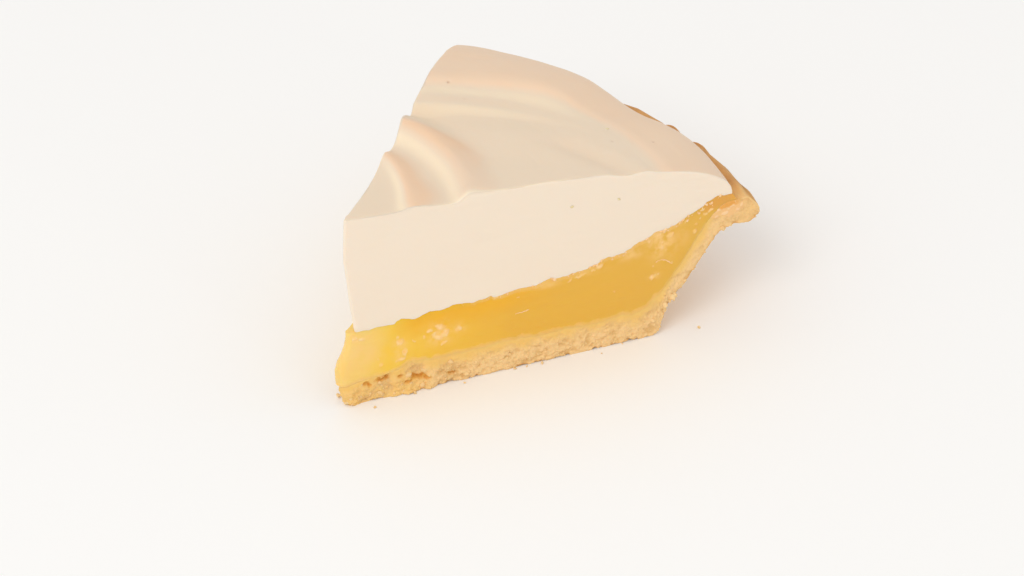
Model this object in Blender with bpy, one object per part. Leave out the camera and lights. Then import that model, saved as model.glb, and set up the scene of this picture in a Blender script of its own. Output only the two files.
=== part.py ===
"""One slice of lemon meringue pie, standing on its crust with its point towards -Y.

Three solids, and each of them runs through the whole slice:
  crust          short pastry: a flat base, a sloping wall and a pressed, fluted rim
  lemon_filling  set lemon gel, which lies on the base and climbs the wall
  meringue       a deep cap, with two curling crests and a raised band across its top

A point of the pie is given by r, its distance from the pie's centre, by s, its place
across the slice (-1 on the left cut, 0 in the middle, 1 on the right cut), and by its
height z. Every length is in metres, and +Z is up.
"""

from math import cos, pi, radians, sin

import bmesh
import bpy
import numpy as np
from mathutils import Vector, noise
from mathutils.geometry import delaunay_2d_cdt

# The whole slice
SLICE_ANGLE = radians(55)
HALF_ANGLE = SLICE_ANGLE / 2
GAP = 0.0003

# Crust, as (r, z) points that a smooth curve passes through
BASE_FLAT_RADIUS = 0.0955
CRUST_FLOOR = ((0.0, 0.0066), (0.012, 0.0080), (0.019, 0.0098), (0.030, 0.0108),
               (0.055, 0.0101), (0.086, 0.0101), (0.0940, 0.0112), (0.1010, 0.0182),
               (0.1122, 0.0345), (0.1164, 0.0398), (0.1205, 0.0427), (0.1250, 0.0434),
               (0.1285, 0.0437))
CRUST_WALL = ((BASE_FLAT_RADIUS, 0.0), (0.0978, 0.0016), (0.0990, 0.0056), (0.1022, 0.0122),
              (0.1078, 0.0180), (0.1150, 0.0282), (0.1185, 0.0326))
CRUST_LIP = ((0.1185, 0.0326), (0.1230, 0.0343), (0.1285, 0.0345), (0.1316, 0.0366),
             (0.1319, 0.0391), (0.1302, 0.0416))
# The rim is fluted, but pressed low and nearly smooth beside the right cut
RIM_SPAN = (0.118, 0.131)
RIM_CROWN = 0.0008
RIM_PRESSED = 0.0012
RIM_PRESSED_TURN = (0.10, 0.34)
FLUTES = 9
FLUTE_HEIGHT = 0.0010
FLUTE_REACH = 0.0006
# Crumb of the cuts, which is finer in the soaked band under the filling
CRUST_CRUMB = 0.0010
CRUST_CRUMB_SIZE = 0.0034
CRUST_SOAKED = 0.35
CRUST_SOAKED_HEIGHT = (0.004, 0.009)
CRUST_RAGGED = 0.0012
CRUST_RAGGED_END = 0.010
# Hollows in the right cut, near the point: distance along it, z, length, height and depth
CRUST_HOLLOWS = ((0.0034, 0.0058, 0.0016, 0.0013, 0.0013),
                 (0.0085, 0.0070, 0.0020, 0.0012, 0.0012),
                 (0.0182, 0.0046, 0.0045, 0.0012, 0.0016))

# Lemon filling: its upper side, as (r, z) points that a smooth curve passes through
FILLING_LINE = ((0.0, 0.0260), (0.020, 0.0266), (0.040, 0.0277), (0.055, 0.0284),
                (0.067, 0.0294), (0.076, 0.0309), (0.085, 0.0330), (0.095, 0.0362),
                (0.104, 0.0390), (0.111, 0.0420), (0.117, 0.0453), (0.121, 0.0462),
                (0.130, 0.0462))
FILLING_TOE = 0.0016
FILLING_WAVE = 0.0005
FILLING_WAVE_SIZE = 0.0065
FILLING_WAVE_SPAN = (0.1100, 0.1220)

# Meringue: the right cut comes first in each pair, then the left cut
MERINGUE_RADIUS = (0.1226, 0.1252)
MERINGUE_HEIGHT = 0.0663
MERINGUE_SLOPE = 0.052
MERINGUE_SQUARENESS = (7.0, 8.5)
MERINGUE_SHOULDER_POWER = 0.6
MERINGUE_EDGE_HEIGHT = 0.0474
MERINGUE_DENT = 0.0024
MERINGUE_DENT_SIDE = 0.12
MERINGUE_DENT_WIDTH = 0.26
# It is fuller at its shoulder on the right
FULLNESS = 0.0012
FULLNESS_SIDE = 0.52
FULLNESS_WIDTH = 0.28
MERINGUE_TEXTURE = 0.0005
MERINGUE_TEXTURE_SIZE = 0.016
# The left side of the plateau lies higher, and the raised band higher still
TILT_RISE = 0.0046
TILT_BEND = 1.5
TILT_START = 0.045
TILT_END = 0.078
BAND_RISE = 0.0065
BAND_TURN = (0.36, 0.62)

# Crests of the swirls: r of the crest, how it bends, rise before it, fall behind it
FIRST_CREST = {"radius": (0.0200, 0.0374), "bend": 1.9, "front": (0.0045, 0.0100),
               "back": (0.0150, 0.0070), "height": (0.0011, 0.0024), "dip": (0.0009, 0.0)}
SECOND_CREST = {"radius": (0.0386, 0.0560), "bend": 1.3, "front": (0.0046, 0.0110),
                "back": (0.0120, 0.0130), "height": (0.0025, 0.0040), "dip": (-0.0012, 0.0034)}
CREST_HOLLOWNESS = 1.7
# Steps in r over which a crest is averaged, which rounds its crown
CREST_ROUNDING = (-0.0014, -0.0007, 0.0, 0.0007, 0.0014)
# The raised band behind them rises in two steps, as (s, r) points of the two lines
STEP_LINE = ((-1.0, 0.0668), (-0.6, 0.0712), (-0.24, 0.0768), (0.13, 0.0855), (0.45, 0.0922),
             (1.0, 0.0970))
STEP_SHARE = 0.6
STEP_WIDTH = 0.0021
BAND_LINE = ((-1.0, 0.0800), (-0.6, 0.0868), (-0.2, 0.0918), (0.2, 0.0955), (0.6, 0.0985),
             (1.0, 0.1005))
BAND_WIDTH = 0.007
# A shallow drag of the spoon, which deepens towards the right cut
DRAG_LINE = ((-0.2, 0.0765), (0.18, 0.0774), (0.35, 0.0783), (0.52, 0.0806), (0.70, 0.0838),
             (0.88, 0.0868), (1.0, 0.0886))
DRAG_DEPTH = 0.0011
DRAG_WIDTH = 0.0042
DRAG_SIDES = (0.0, 0.55)

# The point of the slice slumps past the pie's centre and to the left. Each layer's point
# is a table of heights, how far it slumps there, and how far its cut corner is pushed.
NOSE_REACH = 0.011
NOSE_CORNER = 0.55
NOSE_SPREAD = 0.42
CRUST_NOSE = ((0.0, 0.0026, 0.0052, 0.0080), (0.0030, 0.0044, 0.0052, 0.0050),
              (0.0, 0.0, 0.0, 0.0))
FILLING_NOSE = ((0.012, 0.015, 0.018, 0.021, 0.024), (0.0060, 0.0055, 0.0046, 0.0037, 0.0032),
                (0.0, -0.0003, -0.0007, -0.0010, -0.0010))
MERINGUE_NOSE = ((0.026, 0.036, 0.044, 0.052, 0.060, 0.067),
                 (0.0015, 0.0015, 0.0015, 0.0015, 0.0015, 0.0015),
                 (-0.0019, -0.0012, -0.0006, 0.0, -0.0006, -0.0011))
# How far the relief of a cut runs in behind it
EDGE_DEPTH = 0.002

# Spacing of the facets
BACK_COLUMNS = 36
TIP_COLUMNS = 6
SIDE_POINTS = 44
DOMAIN_CORE = 0.004


def fade(value, start, end):
    """0 before start, 1 after end, and an S-shaped rise between them."""
    t = np.clip((value - start) / (end - start), 0.0, 1.0)
    return t * t * (3.0 - 2.0 * t)


def across(pair, s):
    """The value at s of something that is given at the right and the left cut."""
    return pair[0] + (pair[1] - pair[0]) * (1.0 - s) / 2.0


def grain(points, size):
    """Smooth noise from about -1 to 1, whose bumps are about one size across."""
    return np.array([noise.noise(Vector(point) / size) for point in points])


def smooth_curve(points, count):
    """Points evenly spaced along a Catmull-Rom curve through the points given."""
    p = np.array(points, dtype=float)
    p = np.vstack([2.0 * p[0] - p[1], p, 2.0 * p[-1] - p[-2]])
    t = np.linspace(0.0, 1.0, 24, endpoint=False)[:, None]
    pieces = []
    for a, b, c, d in zip(p, p[1:], p[2:], p[3:]):
        bend = (3.0 * (b - c) + d - a) * t ** 3 + (2.0 * a - 5.0 * b + 4.0 * c - d) * t ** 2
        pieces.append(0.5 * (2.0 * b + (c - a) * t + bend))
    fine = np.vstack(pieces + [p[-2:-1]])
    run = np.concatenate([[0.0], np.cumsum(np.hypot(*np.diff(fine, axis=0).T))])
    where = np.linspace(0.0, run[-1], count)
    return np.column_stack([np.interp(where, run, fine[:, 0]), np.interp(where, run, fine[:, 1])])


FLOOR_CURVE = smooth_curve(CRUST_FLOOR, 400)
FILLING_CURVE = smooth_curve(FILLING_LINE, 400)
STEP_CURVE = smooth_curve(STEP_LINE, 200)
BAND_CURVE = smooth_curve(BAND_LINE, 200)
DRAG_CURVE = smooth_curve(DRAG_LINE, 200)


def along_curve(curve, value):
    """The second number of a curve of pairs, where its first is the value."""
    return np.interp(value, curve[:, 0], curve[:, 1])


def edge_share(r, s):
    """1 on a cut, falling to 0 at EDGE_DEPTH behind it."""
    return np.clip(1.0 - r * HALF_ANGLE * (1.0 - np.abs(s)) / EDGE_DEPTH, 0.0, 1.0)


def meringue_edge(s):
    """Outer radius of the meringue, which draws back where the rim shows over it."""
    dent = MERINGUE_DENT * np.exp(-((s - MERINGUE_DENT_SIDE) / MERINGUE_DENT_WIDTH) ** 2)
    return across(MERINGUE_RADIUS, s) - dent


def filling_edge(s):
    """Outer radius of the filling where it runs out over the rim."""
    return meringue_edge(s) + FILLING_TOE


def crust_floor(r, s):
    """Height of the crust's upper side, up to where the filling ends."""
    return np.interp(r, FLOOR_CURVE[:, 0], FLOOR_CURVE[:, 1])


def filling_underside(r, s):
    """Height of the filling's lower side: the gap is measured square to the crust."""
    slope = np.gradient(FLOOR_CURVE[:, 1], FLOOR_CURVE[:, 0])
    return crust_floor(r, s) + GAP * np.hypot(1.0, np.interp(r, FLOOR_CURVE[:, 0], slope))


def filling_top(r, s):
    """Level in the middle of the pie, climbing towards the rim, and uneven where it is cut."""
    spots = np.column_stack([r, np.sign(s) * 0.02, np.zeros_like(r)])
    wave = FILLING_WAVE * grain(spots, FILLING_WAVE_SIZE) * edge_share(r, s)
    return along_curve(FILLING_CURVE, r) + wave * (1.0 - fade(r, *FILLING_WAVE_SPAN))


def meringue_underside(r, s):
    """Height of the meringue's lower side, which follows the filling."""
    return filling_top(r, s) + GAP


def meringue_dome(r, s):
    """The cap without its swirls: a tilted plateau, its raised band, and a rounded shoulder."""
    turn = (1.0 - s) / 2.0
    tilt = TILT_RISE * turn ** TILT_BEND * fade(r, TILT_START, TILT_END)
    raised = fade(turn, *BAND_TURN)
    band_start = along_curve(BAND_CURVE, s)
    on_band = fade(r, band_start - BAND_WIDTH, band_start + BAND_WIDTH)
    plateau = MERINGUE_HEIGHT - MERINGUE_SLOPE * r + tilt + (BAND_RISE * raised - tilt) * on_band
    share = np.clip(r / meringue_edge(s), 0.0, 1.0) ** across(MERINGUE_SQUARENESS, 1.0 - 2.0 * raised)
    rise = (1.0 - share) ** MERINGUE_SHOULDER_POWER
    return MERINGUE_EDGE_HEIGHT + (plateau - MERINGUE_EDGE_HEIGHT) * rise


def crest_radius(crest, s):
    """The crest's distance from the pie's centre grows from the right cut to the left one."""
    near, far = crest["radius"]
    return near + (far - near) * ((1.0 - s) / 2.0) ** crest["bend"]


def crest_height(crest, r, s):
    """A hollow rise up to a round crest, then a fall that ends below the dome."""
    top, total = crest_radius(crest, s), 0.0
    for aside in CREST_ROUNDING:
        out = r + aside - top
        before = np.clip(1.0 + out / across(crest["front"], s), 0.0, 1.0) ** CREST_HOLLOWNESS
        behind = fade(out, 0.0, across(crest["back"], s))
        height = across(crest["height"], s) * np.where(out < 0.0, before, 1.0 - behind)
        total = total + (height - across(crest["dip"], s) * behind) / len(CREST_ROUNDING)
    return total


def meringue_top(r, s):
    """The dome with its two crests, the trough and drag behind them and the raised band."""
    step, second = along_curve(STEP_CURVE, s), crest_radius(SECOND_CREST, s)
    trough_end = np.minimum(second + across(SECOND_CREST["back"], s), step - STEP_WIDTH)
    slow = (1.0 - STEP_SHARE) * fade(r, trough_end, step + STEP_WIDTH)
    sharp = STEP_SHARE * fade(r, step - STEP_WIDTH, step + STEP_WIDTH)
    swirls = crest_height(FIRST_CREST, r, s) + crest_height(SECOND_CREST, r, s)
    between = fade(r, second - across(SECOND_CREST["front"], s), second)
    swirls = swirls + across(FIRST_CREST["dip"], s) * between
    swirls = swirls + across(SECOND_CREST["dip"], s) * (slow + sharp)
    drag = np.exp(-((r - along_curve(DRAG_CURVE, s)) / DRAG_WIDTH) ** 2)
    swirls = swirls - DRAG_DEPTH * drag * fade(s, *DRAG_SIDES)
    out = r / meringue_edge(s)
    full = FULLNESS * np.exp(-((s - FULLNESS_SIDE) / FULLNESS_WIDTH) ** 2)
    return meringue_dome(r, s) + swirls * (1.0 - fade(out, 0.93, 1.0)) + full * fade(out, 0.84, 0.95)


def crust_underside(r, s):
    """Flat, with crumbs missing here and there along the cuts."""
    spots = np.column_stack([r, np.sign(s) * 0.03, np.zeros_like(r)])
    missing = CRUST_RAGGED * np.clip(grain(spots, CRUST_CRUMB_SIZE), 0.0, 1.0) * edge_share(r, s)
    return missing * fade(BASE_FLAT_RADIUS - r, 0.0, CRUST_RAGGED_END)


def crust_back(s):
    """(r, z) points up the outside of the crust at s, from the base to the filling's edge."""
    wall = smooth_curve(CRUST_WALL, 7)
    lip = smooth_curve(CRUST_LIP, 8)
    r, z = np.vstack([wall, lip[1:]]).T
    free = fade((1.0 - s) / 2.0, *RIM_PRESSED_TURN)
    uneven = 0.75 + 0.5 * noise.noise(Vector((3.0 * s, 0.0, 0.0)))
    flute = cos(FLUTES * pi * s) * uneven * (0.25 + 0.75 * free)
    on_lip = fade(r, *RIM_SPAN)
    r = r + FLUTE_REACH * flute * on_lip
    z = z + (FLUTE_HEIGHT * flute + RIM_PRESSED * (free - 0.5)) * on_lip
    z[0] = crust_underside(r[:1], s)[0]
    end = filling_edge(s)
    top = crust_floor(end, s)
    crown = np.array([[(r[-1] + end) / 2.0, max(top, z[-1]) + RIM_CROWN * (0.4 + 0.6 * free)]])
    return np.vstack([np.column_stack([r, z]), crown, [[end, top]]])


def filling_back(s):
    """The filling's end is a short slope from the meringue down to the rim."""
    end = filling_edge(s)
    edge = meringue_edge(s)
    return np.array([[end, filling_underside(end, s)], [edge, filling_top(np.array([edge]), s)[0]]])


def meringue_back(s):
    """The meringue ends in a low blunt edge."""
    edge = meringue_edge(s)
    under = meringue_underside(np.array([edge]), s)[0]
    return np.array([[edge, under], [edge, meringue_top(edge, s)]])


def crust_relief(r, s, z, spots):
    """Crumb along the cuts, smoother just under the filling, and the hollows near the point."""
    soaked = fade(z, *CRUST_SOAKED_HEIGHT)
    out = CRUST_CRUMB * (1.0 - (1.0 - CRUST_SOAKED) * soaked) * grain(spots, CRUST_CRUMB_SIZE)
    run = spots[:, 0] * sin(HALF_ANGLE) + spots[:, 1] * cos(HALF_ANGLE)
    for middle, height, length, tall, deep in CRUST_HOLLOWS:
        away = ((run - middle) / length) ** 2 + ((z - height) / tall) ** 2
        out = out - deep * np.exp(-away) * (s > 0.5)
    return out


def soft_relief(r, s, z, spots):
    """Slow swell of a cut that a knife left nearly flat."""
    return MERINGUE_TEXTURE * grain(spots, MERINGUE_TEXTURE_SIZE)


def place(layer, r, s, z):
    """Positions of the points (r, s, z) of a layer, with its slumped point and its relief."""
    r, s, z = np.broadcast_arrays(np.asarray(r, float), np.asarray(s, float), np.asarray(z, float))
    side, middle = np.sin(s * pi / 2.0), np.cos(s * pi / 2.0)
    heights, slumps, pushes = layer["nose"]
    slump, push = np.interp(z, heights, slumps), np.interp(z, heights, pushes)
    near = np.exp(-(r / NOSE_REACH) ** 2)
    ahead = near * (push + slump * (NOSE_CORNER + (1.0 - NOSE_CORNER) * middle))
    leftward = near * slump * NOSE_SPREAD * (1.0 - side)
    x = r * np.sin(s * HALF_ANGLE) - ahead * sin(HALF_ANGLE) - leftward * cos(HALF_ANGLE)
    y = r * np.cos(s * HALF_ANGLE) - ahead * cos(HALF_ANGLE) + leftward * sin(HALF_ANGLE)
    spots = np.column_stack([x, y, z])
    out = layer["relief"](r, s, z, spots) * edge_share(r, s)
    x = x + out * (cos(HALF_ANGLE) * side - sin(HALF_ANGLE) * middle)
    y = y - out * (sin(HALF_ANGLE) * np.abs(side) + cos(HALF_ANGLE) * middle)
    return np.column_stack([x, y, z])


def nearest_edge(points, loop):
    """Distance of each point from a closed loop."""
    start = loop[None, :, :]
    step = np.roll(loop, -1, axis=0)[None, :, :] - start
    lead = points[:, None, :] - start
    t = np.clip((lead * step).sum(axis=2) / (step * step).sum(axis=2), 0.0, 1.0)
    return np.linalg.norm(lead - step * t[:, :, None], axis=2).min(axis=1)


def inside(points, loop):
    """True for each point that lies inside a closed loop."""
    x, y = points[:, 0:1], points[:, 1:2]
    ax, ay = loop[:, 0], loop[:, 1]
    bx, by = np.roll(ax, -1), np.roll(ay, -1)
    crosses = (ay > y) != (by > y)
    reach = ax + (y - ay) * (bx - ax) / np.where(by == ay, 1.0, by - ay)
    return np.logical_and(crosses, x < reach).sum(axis=1) % 2 == 1


def fill_points(loop, spacing, lines):
    """A staggered grid inside a closed loop, clear of it and of the points of the lines."""
    low, high = loop.min(axis=0), loop.max(axis=0)
    rows = []
    for i, y in enumerate(np.arange(low[1] + spacing / 2.0, high[1], spacing * 0.866)):
        x = np.arange(low[0] + spacing * (0.25 + 0.5 * (i % 2)), high[0], spacing)
        rows.append(np.column_stack([x, np.full_like(x, y)]))
    points = np.vstack(rows)
    points = points[inside(points, loop)]
    points = points[nearest_edge(points, loop) > 0.55 * spacing]
    if len(lines):
        away = np.linalg.norm(points[:, None, :] - lines[None, :, :], axis=2).min(axis=1)
        points = np.vstack([lines, points[away > 0.7 * spacing]])
    return points


def triangles(loop, points):
    """Triangles that fill a closed loop through the points inside it, turned like the loop."""
    flat = np.vstack([loop, points])
    found = delaunay_2d_cdt([Vector(p) for p in flat], [], [list(range(len(loop)))], 1, 1e-9)
    origin = [source[0] for source in found[3]]
    return [[origin[i] for i in face] for face in found[2]]


def to_domain(r, s):
    """Flat place of (r, s), opened round the pie's centre so that the point has a width."""
    reach = np.asarray(r, float) + DOMAIN_CORE
    turn = np.asarray(s, float) * HALF_ANGLE
    return np.column_stack([reach * np.sin(turn), reach * np.cos(turn)])


def from_domain(points):
    """(r, s) of places in the flat domain."""
    r = np.hypot(points[:, 0], points[:, 1]) - DOMAIN_CORE
    return r, np.arctan2(points[:, 0], points[:, 1]) / HALF_ANGLE


def sheet(layer, height, edge, side, spacing, lines, upward):
    """The upper or lower side of a layer: its outline, then points spread inside it."""
    tip = np.linspace(-1.0, 1.0, TIP_COLUMNS + 1)
    back = np.linspace(1.0, -1.0, BACK_COLUMNS + 1)
    right, left = edge(1.0) * side, edge(-1.0) * side
    r = np.concatenate([0.0 * tip[:-1], right[:-1], edge(back[:-1]), left[:0:-1]])
    s = np.concatenate([tip[:-1], np.ones(len(right) - 1), back[:-1], -np.ones(len(left) - 1)])
    loop = to_domain(r, s)
    points = fill_points(loop, spacing, lines)
    faces = triangles(loop, points)
    inner_r, inner_s = from_domain(points)
    r, s = np.concatenate([r, inner_r]), np.concatenate([s, inner_s])
    faces = faces if upward else [face[::-1] for face in faces]
    return place(layer, r, s, height(r, s)), faces


def cut_face(layer, s):
    """The cut at s = 1 or -1, filled inside the outline of the layer's section."""
    under_r = layer["under_edge"](s) * layer["under_side"]
    over_r = layer["over_edge"](s) * layer["over_side"]
    flat_s = np.full_like(under_r, s)
    under = np.column_stack([under_r, layer["under"](under_r, flat_s)])
    over = np.column_stack([over_r, layer["over"](over_r, np.full_like(over_r, s))])
    levels = np.linspace(over[0, 1], under[0, 1], layer["tip_rows"] + 1)[1:-1]
    tip = np.column_stack([np.zeros_like(levels), levels])
    back = layer["back"](s)
    loop = np.vstack([under, back[1:-1], over[::-1], tip])
    points = fill_points(loop, layer["cut_spacing"], np.empty((0, 2)))
    faces = triangles(loop, points)
    flat = np.vstack([loop, points])
    faces = faces if s > 0.0 else [face[::-1] for face in faces]
    return place(layer, flat[:, 0], np.full(len(flat), s), flat[:, 1]), faces


def grid_faces(rows, columns):
    """Two triangles for each cell of a grid of points."""
    faces = []
    for i in range(rows - 1):
        for j in range(columns - 1):
            a = i * columns + j
            faces.append([a, a + 1, a + columns + 1])
            faces.append([a, a + columns + 1, a + columns])
    return faces


def tip_face(layer):
    """The blunt upright edge at the point of the slice."""
    s = np.linspace(-1.0, 1.0, TIP_COLUMNS + 1)
    zero = np.zeros_like(s)
    share = np.linspace(0.0, 1.0, layer["tip_rows"] + 1)[:, None]
    z = layer["under"](zero, s) * (1.0 - share) + layer["over"](zero, s) * share
    s_grid = np.broadcast_to(s, z.shape)
    points = place(layer, np.zeros(z.size), s_grid.ravel(), z.ravel())
    return points, grid_faces(len(share), len(s))


def back_face(layer):
    """The outside of the layer, from the edge of its lower side to that of its upper side."""
    columns = np.linspace(1.0, -1.0, BACK_COLUMNS + 1)
    curves = [layer["back"](s) for s in columns]
    rows = len(curves[0])
    r = np.array([curve[:, 0] for curve in curves]).T
    z = np.array([curve[:, 1] for curve in curves]).T
    s_grid = np.broadcast_to(columns, r.shape)
    return place(layer, r.ravel(), s_grid.ravel(), z.ravel()), grid_faces(rows, len(columns))


def build_layer(name, layer, material):
    """One closed solid: lower side, upper side, two cuts, point and outside, welded."""
    patches = [
        sheet(layer, layer["under"], layer["under_edge"], layer["under_side"],
              layer["under_spacing"], np.empty((0, 2)), False),
        sheet(layer, layer["over"], layer["over_edge"], layer["over_side"],
              layer["over_spacing"], layer["lines"], True),
        cut_face(layer, 1.0),
        cut_face(layer, -1.0),
        tip_face(layer),
        back_face(layer),
    ]
    points, faces, count = [], [], 0
    for patch_points, patch_faces in patches:
        points.append(patch_points)
        faces.extend([[i + count for i in face] for face in patch_faces])
        count += len(patch_points)
    mesh = bpy.data.meshes.new(name)
    mesh.from_pydata(np.vstack(points).tolist(), [], faces)
    body = bmesh.new()
    body.from_mesh(mesh)
    bmesh.ops.remove_doubles(body, verts=body.verts, dist=0.00001)
    bmesh.ops.recalc_face_normals(body, faces=body.faces)
    body.to_mesh(mesh)
    body.free()
    mesh.materials.append(material)
    mesh.shade_smooth()
    mesh.set_sharp_from_angle(angle=radians(40))
    piece = bpy.data.objects.new(name, mesh)
    bpy.context.collection.objects.link(piece)
    return piece


def make_material(name, colour, roughness, subsurface):
    """A Principled material of one colour."""
    material = bpy.data.materials.new(name)
    material.use_nodes = True
    shader = material.node_tree.nodes["Principled BSDF"]
    shader.inputs["Base Color"].default_value = (*colour, 1.0)
    shader.inputs["Roughness"].default_value = roughness
    shader.inputs["Metallic"].default_value = 0.0
    shader.inputs["Subsurface Weight"].default_value = subsurface
    return material


def crest_lines():
    """Flat places along both crests, so that facets meet on them."""
    s = np.linspace(-0.94, 0.94, 20)
    both = [to_domain(crest_radius(crest, s), s) for crest in (FIRST_CREST, SECOND_CREST)]
    return np.vstack(both)


def main():
    """Clears the scene and builds the three layers, centred on the origin."""
    for old in list(bpy.data.objects):
        bpy.data.objects.remove(old)

    even = np.linspace(0.0, 1.0, SIDE_POINTS)
    floor_side = np.clip(smooth_curve(CRUST_FLOOR, SIDE_POINTS)[:, 0] / CRUST_FLOOR[-1][0], 0.0, 1.0)
    no_lines = np.empty((0, 2))
    crust = {
        "under": crust_underside, "under_edge": lambda s: BASE_FLAT_RADIUS + 0.0 * s,
        "under_side": even, "under_spacing": 0.014,
        "over": crust_floor, "over_edge": filling_edge, "over_side": floor_side,
        "over_spacing": 0.008, "lines": no_lines, "back": crust_back, "relief": crust_relief,
        "nose": CRUST_NOSE, "tip_rows": 4, "cut_spacing": 0.0025,
    }
    filling = {
        "under": filling_underside, "under_edge": filling_edge, "under_side": floor_side,
        "under_spacing": 0.008, "over": filling_top, "over_edge": meringue_edge,
        "over_side": even, "over_spacing": 0.008, "lines": no_lines, "back": filling_back,
        "relief": soft_relief, "nose": FILLING_NOSE, "tip_rows": 6, "cut_spacing": 0.006,
    }
    meringue = {
        "under": meringue_underside, "under_edge": meringue_edge, "under_side": even,
        "under_spacing": 0.008, "over": meringue_top, "over_edge": meringue_edge,
        "over_side": even, "over_spacing": 0.0034, "lines": crest_lines(),
        "back": meringue_back, "relief": soft_relief, "nose": MERINGUE_NOSE,
        "tip_rows": 9, "cut_spacing": 0.007,
    }
    pastry = make_material("pastry", (0.78, 0.50, 0.22), 0.8, 0.0)
    lemon = make_material("lemon", (0.85, 0.47, 0.05), 0.25, 0.2)
    foam = make_material("foam", (0.88, 0.76, 0.60), 0.6, 0.1)
    pieces = [
        build_layer("crust", crust, pastry),
        build_layer("lemon_filling", filling, lemon),
        build_layer("meringue", meringue, foam),
    ]

    corners = np.array([list(corner) for piece in pieces for corner in piece.bound_box])
    low, high = corners.min(axis=0), corners.max(axis=0)
    slice_centre = bpy.data.objects.new("slice", None)
    bpy.context.collection.objects.link(slice_centre)
    slice_centre.location = (-(low[0] + high[0]) / 2.0, -(low[1] + high[1]) / 2.0, -low[2])
    for piece in pieces:
        piece.parent = slice_centre
        print(piece.name, len(piece.data.polygons), "triangles")


main()
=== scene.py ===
# %% [markdown]
# # One slice of lemon meringue pie
#
# The slice has three layers: a pastry crust, a set lemon gel, and a deep cap of soft
# meringue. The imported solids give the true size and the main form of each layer, but they
# are coarse. Here each layer is made again as a fine surface from the same named sizes,
# and then gets what only a close look shows: crumb, wet gel, toasted crests, small beads.

# %% The frame, and the box that the slice has to stay in
from math import cos, pi, radians, sin, sqrt

import bmesh
import bpy
import numpy as np
from mathutils import Matrix, Vector


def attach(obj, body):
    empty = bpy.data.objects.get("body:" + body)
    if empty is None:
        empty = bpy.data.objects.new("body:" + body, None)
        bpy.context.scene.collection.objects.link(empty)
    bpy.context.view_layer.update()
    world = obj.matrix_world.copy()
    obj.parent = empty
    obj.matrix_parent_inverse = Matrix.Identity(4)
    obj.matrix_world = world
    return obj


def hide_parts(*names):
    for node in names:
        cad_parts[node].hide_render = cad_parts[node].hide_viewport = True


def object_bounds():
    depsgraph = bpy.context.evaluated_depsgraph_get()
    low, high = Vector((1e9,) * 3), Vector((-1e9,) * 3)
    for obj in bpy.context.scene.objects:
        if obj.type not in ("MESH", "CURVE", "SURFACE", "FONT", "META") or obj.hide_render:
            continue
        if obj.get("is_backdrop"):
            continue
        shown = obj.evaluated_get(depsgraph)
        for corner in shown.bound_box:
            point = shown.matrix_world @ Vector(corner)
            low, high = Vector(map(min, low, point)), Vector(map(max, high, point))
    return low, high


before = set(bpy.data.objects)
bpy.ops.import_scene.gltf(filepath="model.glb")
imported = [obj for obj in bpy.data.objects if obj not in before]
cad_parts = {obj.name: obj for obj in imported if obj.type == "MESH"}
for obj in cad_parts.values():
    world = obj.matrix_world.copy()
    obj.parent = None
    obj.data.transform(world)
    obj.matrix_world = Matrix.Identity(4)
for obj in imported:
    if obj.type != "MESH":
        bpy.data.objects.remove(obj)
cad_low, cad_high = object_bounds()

CAD_LOW, CAD_HIGH = np.array(cad_low), np.array(cad_high)
print("box of the solids in mm:", (1000 * (CAD_HIGH - CAD_LOW)).round(1))

# %% [markdown]
# ## The camera
#
# It stands where the photograph was taken from: far off with a long lens, a third of the
# way up, and tipped by under three degrees. Its three axes are worked out from the place
# it looks at, so that the roll is exact, and no shift is needed.

# %% The camera
CAMERA_AT = Vector((0.7642, -0.7666, 0.7277))
CAMERA_TARGET = Vector((0.0201, -0.0159, 0.0264))
CAMERA_ROLL = radians(-2.71)
CAMERA_LENS = 146.14
SENSOR_WIDTH = 36.0

backward = (CAMERA_AT - CAMERA_TARGET).normalized()
level = Vector((0.0, 0.0, 1.0)).cross(backward).normalized()
upright = backward.cross(level)
rightward = cos(CAMERA_ROLL) * level + sin(CAMERA_ROLL) * upright
upward = cos(CAMERA_ROLL) * upright - sin(CAMERA_ROLL) * level
camera_data = bpy.data.cameras.new("camera")
camera_data.lens = CAMERA_LENS
camera_data.sensor_width = SENSOR_WIDTH
camera_data.clip_start = 0.01
camera = bpy.data.objects.new("camera", camera_data)
bpy.context.collection.objects.link(camera)
axes = Matrix((rightward, upward, backward)).transposed()
camera.matrix_world = Matrix.Translation(CAMERA_AT) @ axes.to_4x4()
bpy.context.scene.camera = camera
print("camera", round((CAMERA_AT - CAMERA_TARGET).length, 3), "m from the slice")

# %% [markdown]
# ## The floor and the light
#
# Food like this is photographed in even light, so the room is white and does half of the
# work. One large soft lamp stands in front, on the side of the point, so that the cut is
# a little brighter than the top and the crests have pale fronts. A small, low one puts
# the glints on the gel. The plain sRGB view keeps the pale colours as they are mixed.

# %% The floor and the white room
FLOOR_HALF = 1.5
FLOOR_COLOUR = (0.96, 0.957, 0.95)
FLOOR_ROUGHNESS = 0.7
ROOM_COLOUR = (1.0, 0.99, 0.975)
ROOM_STRENGTH = 0.83

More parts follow.
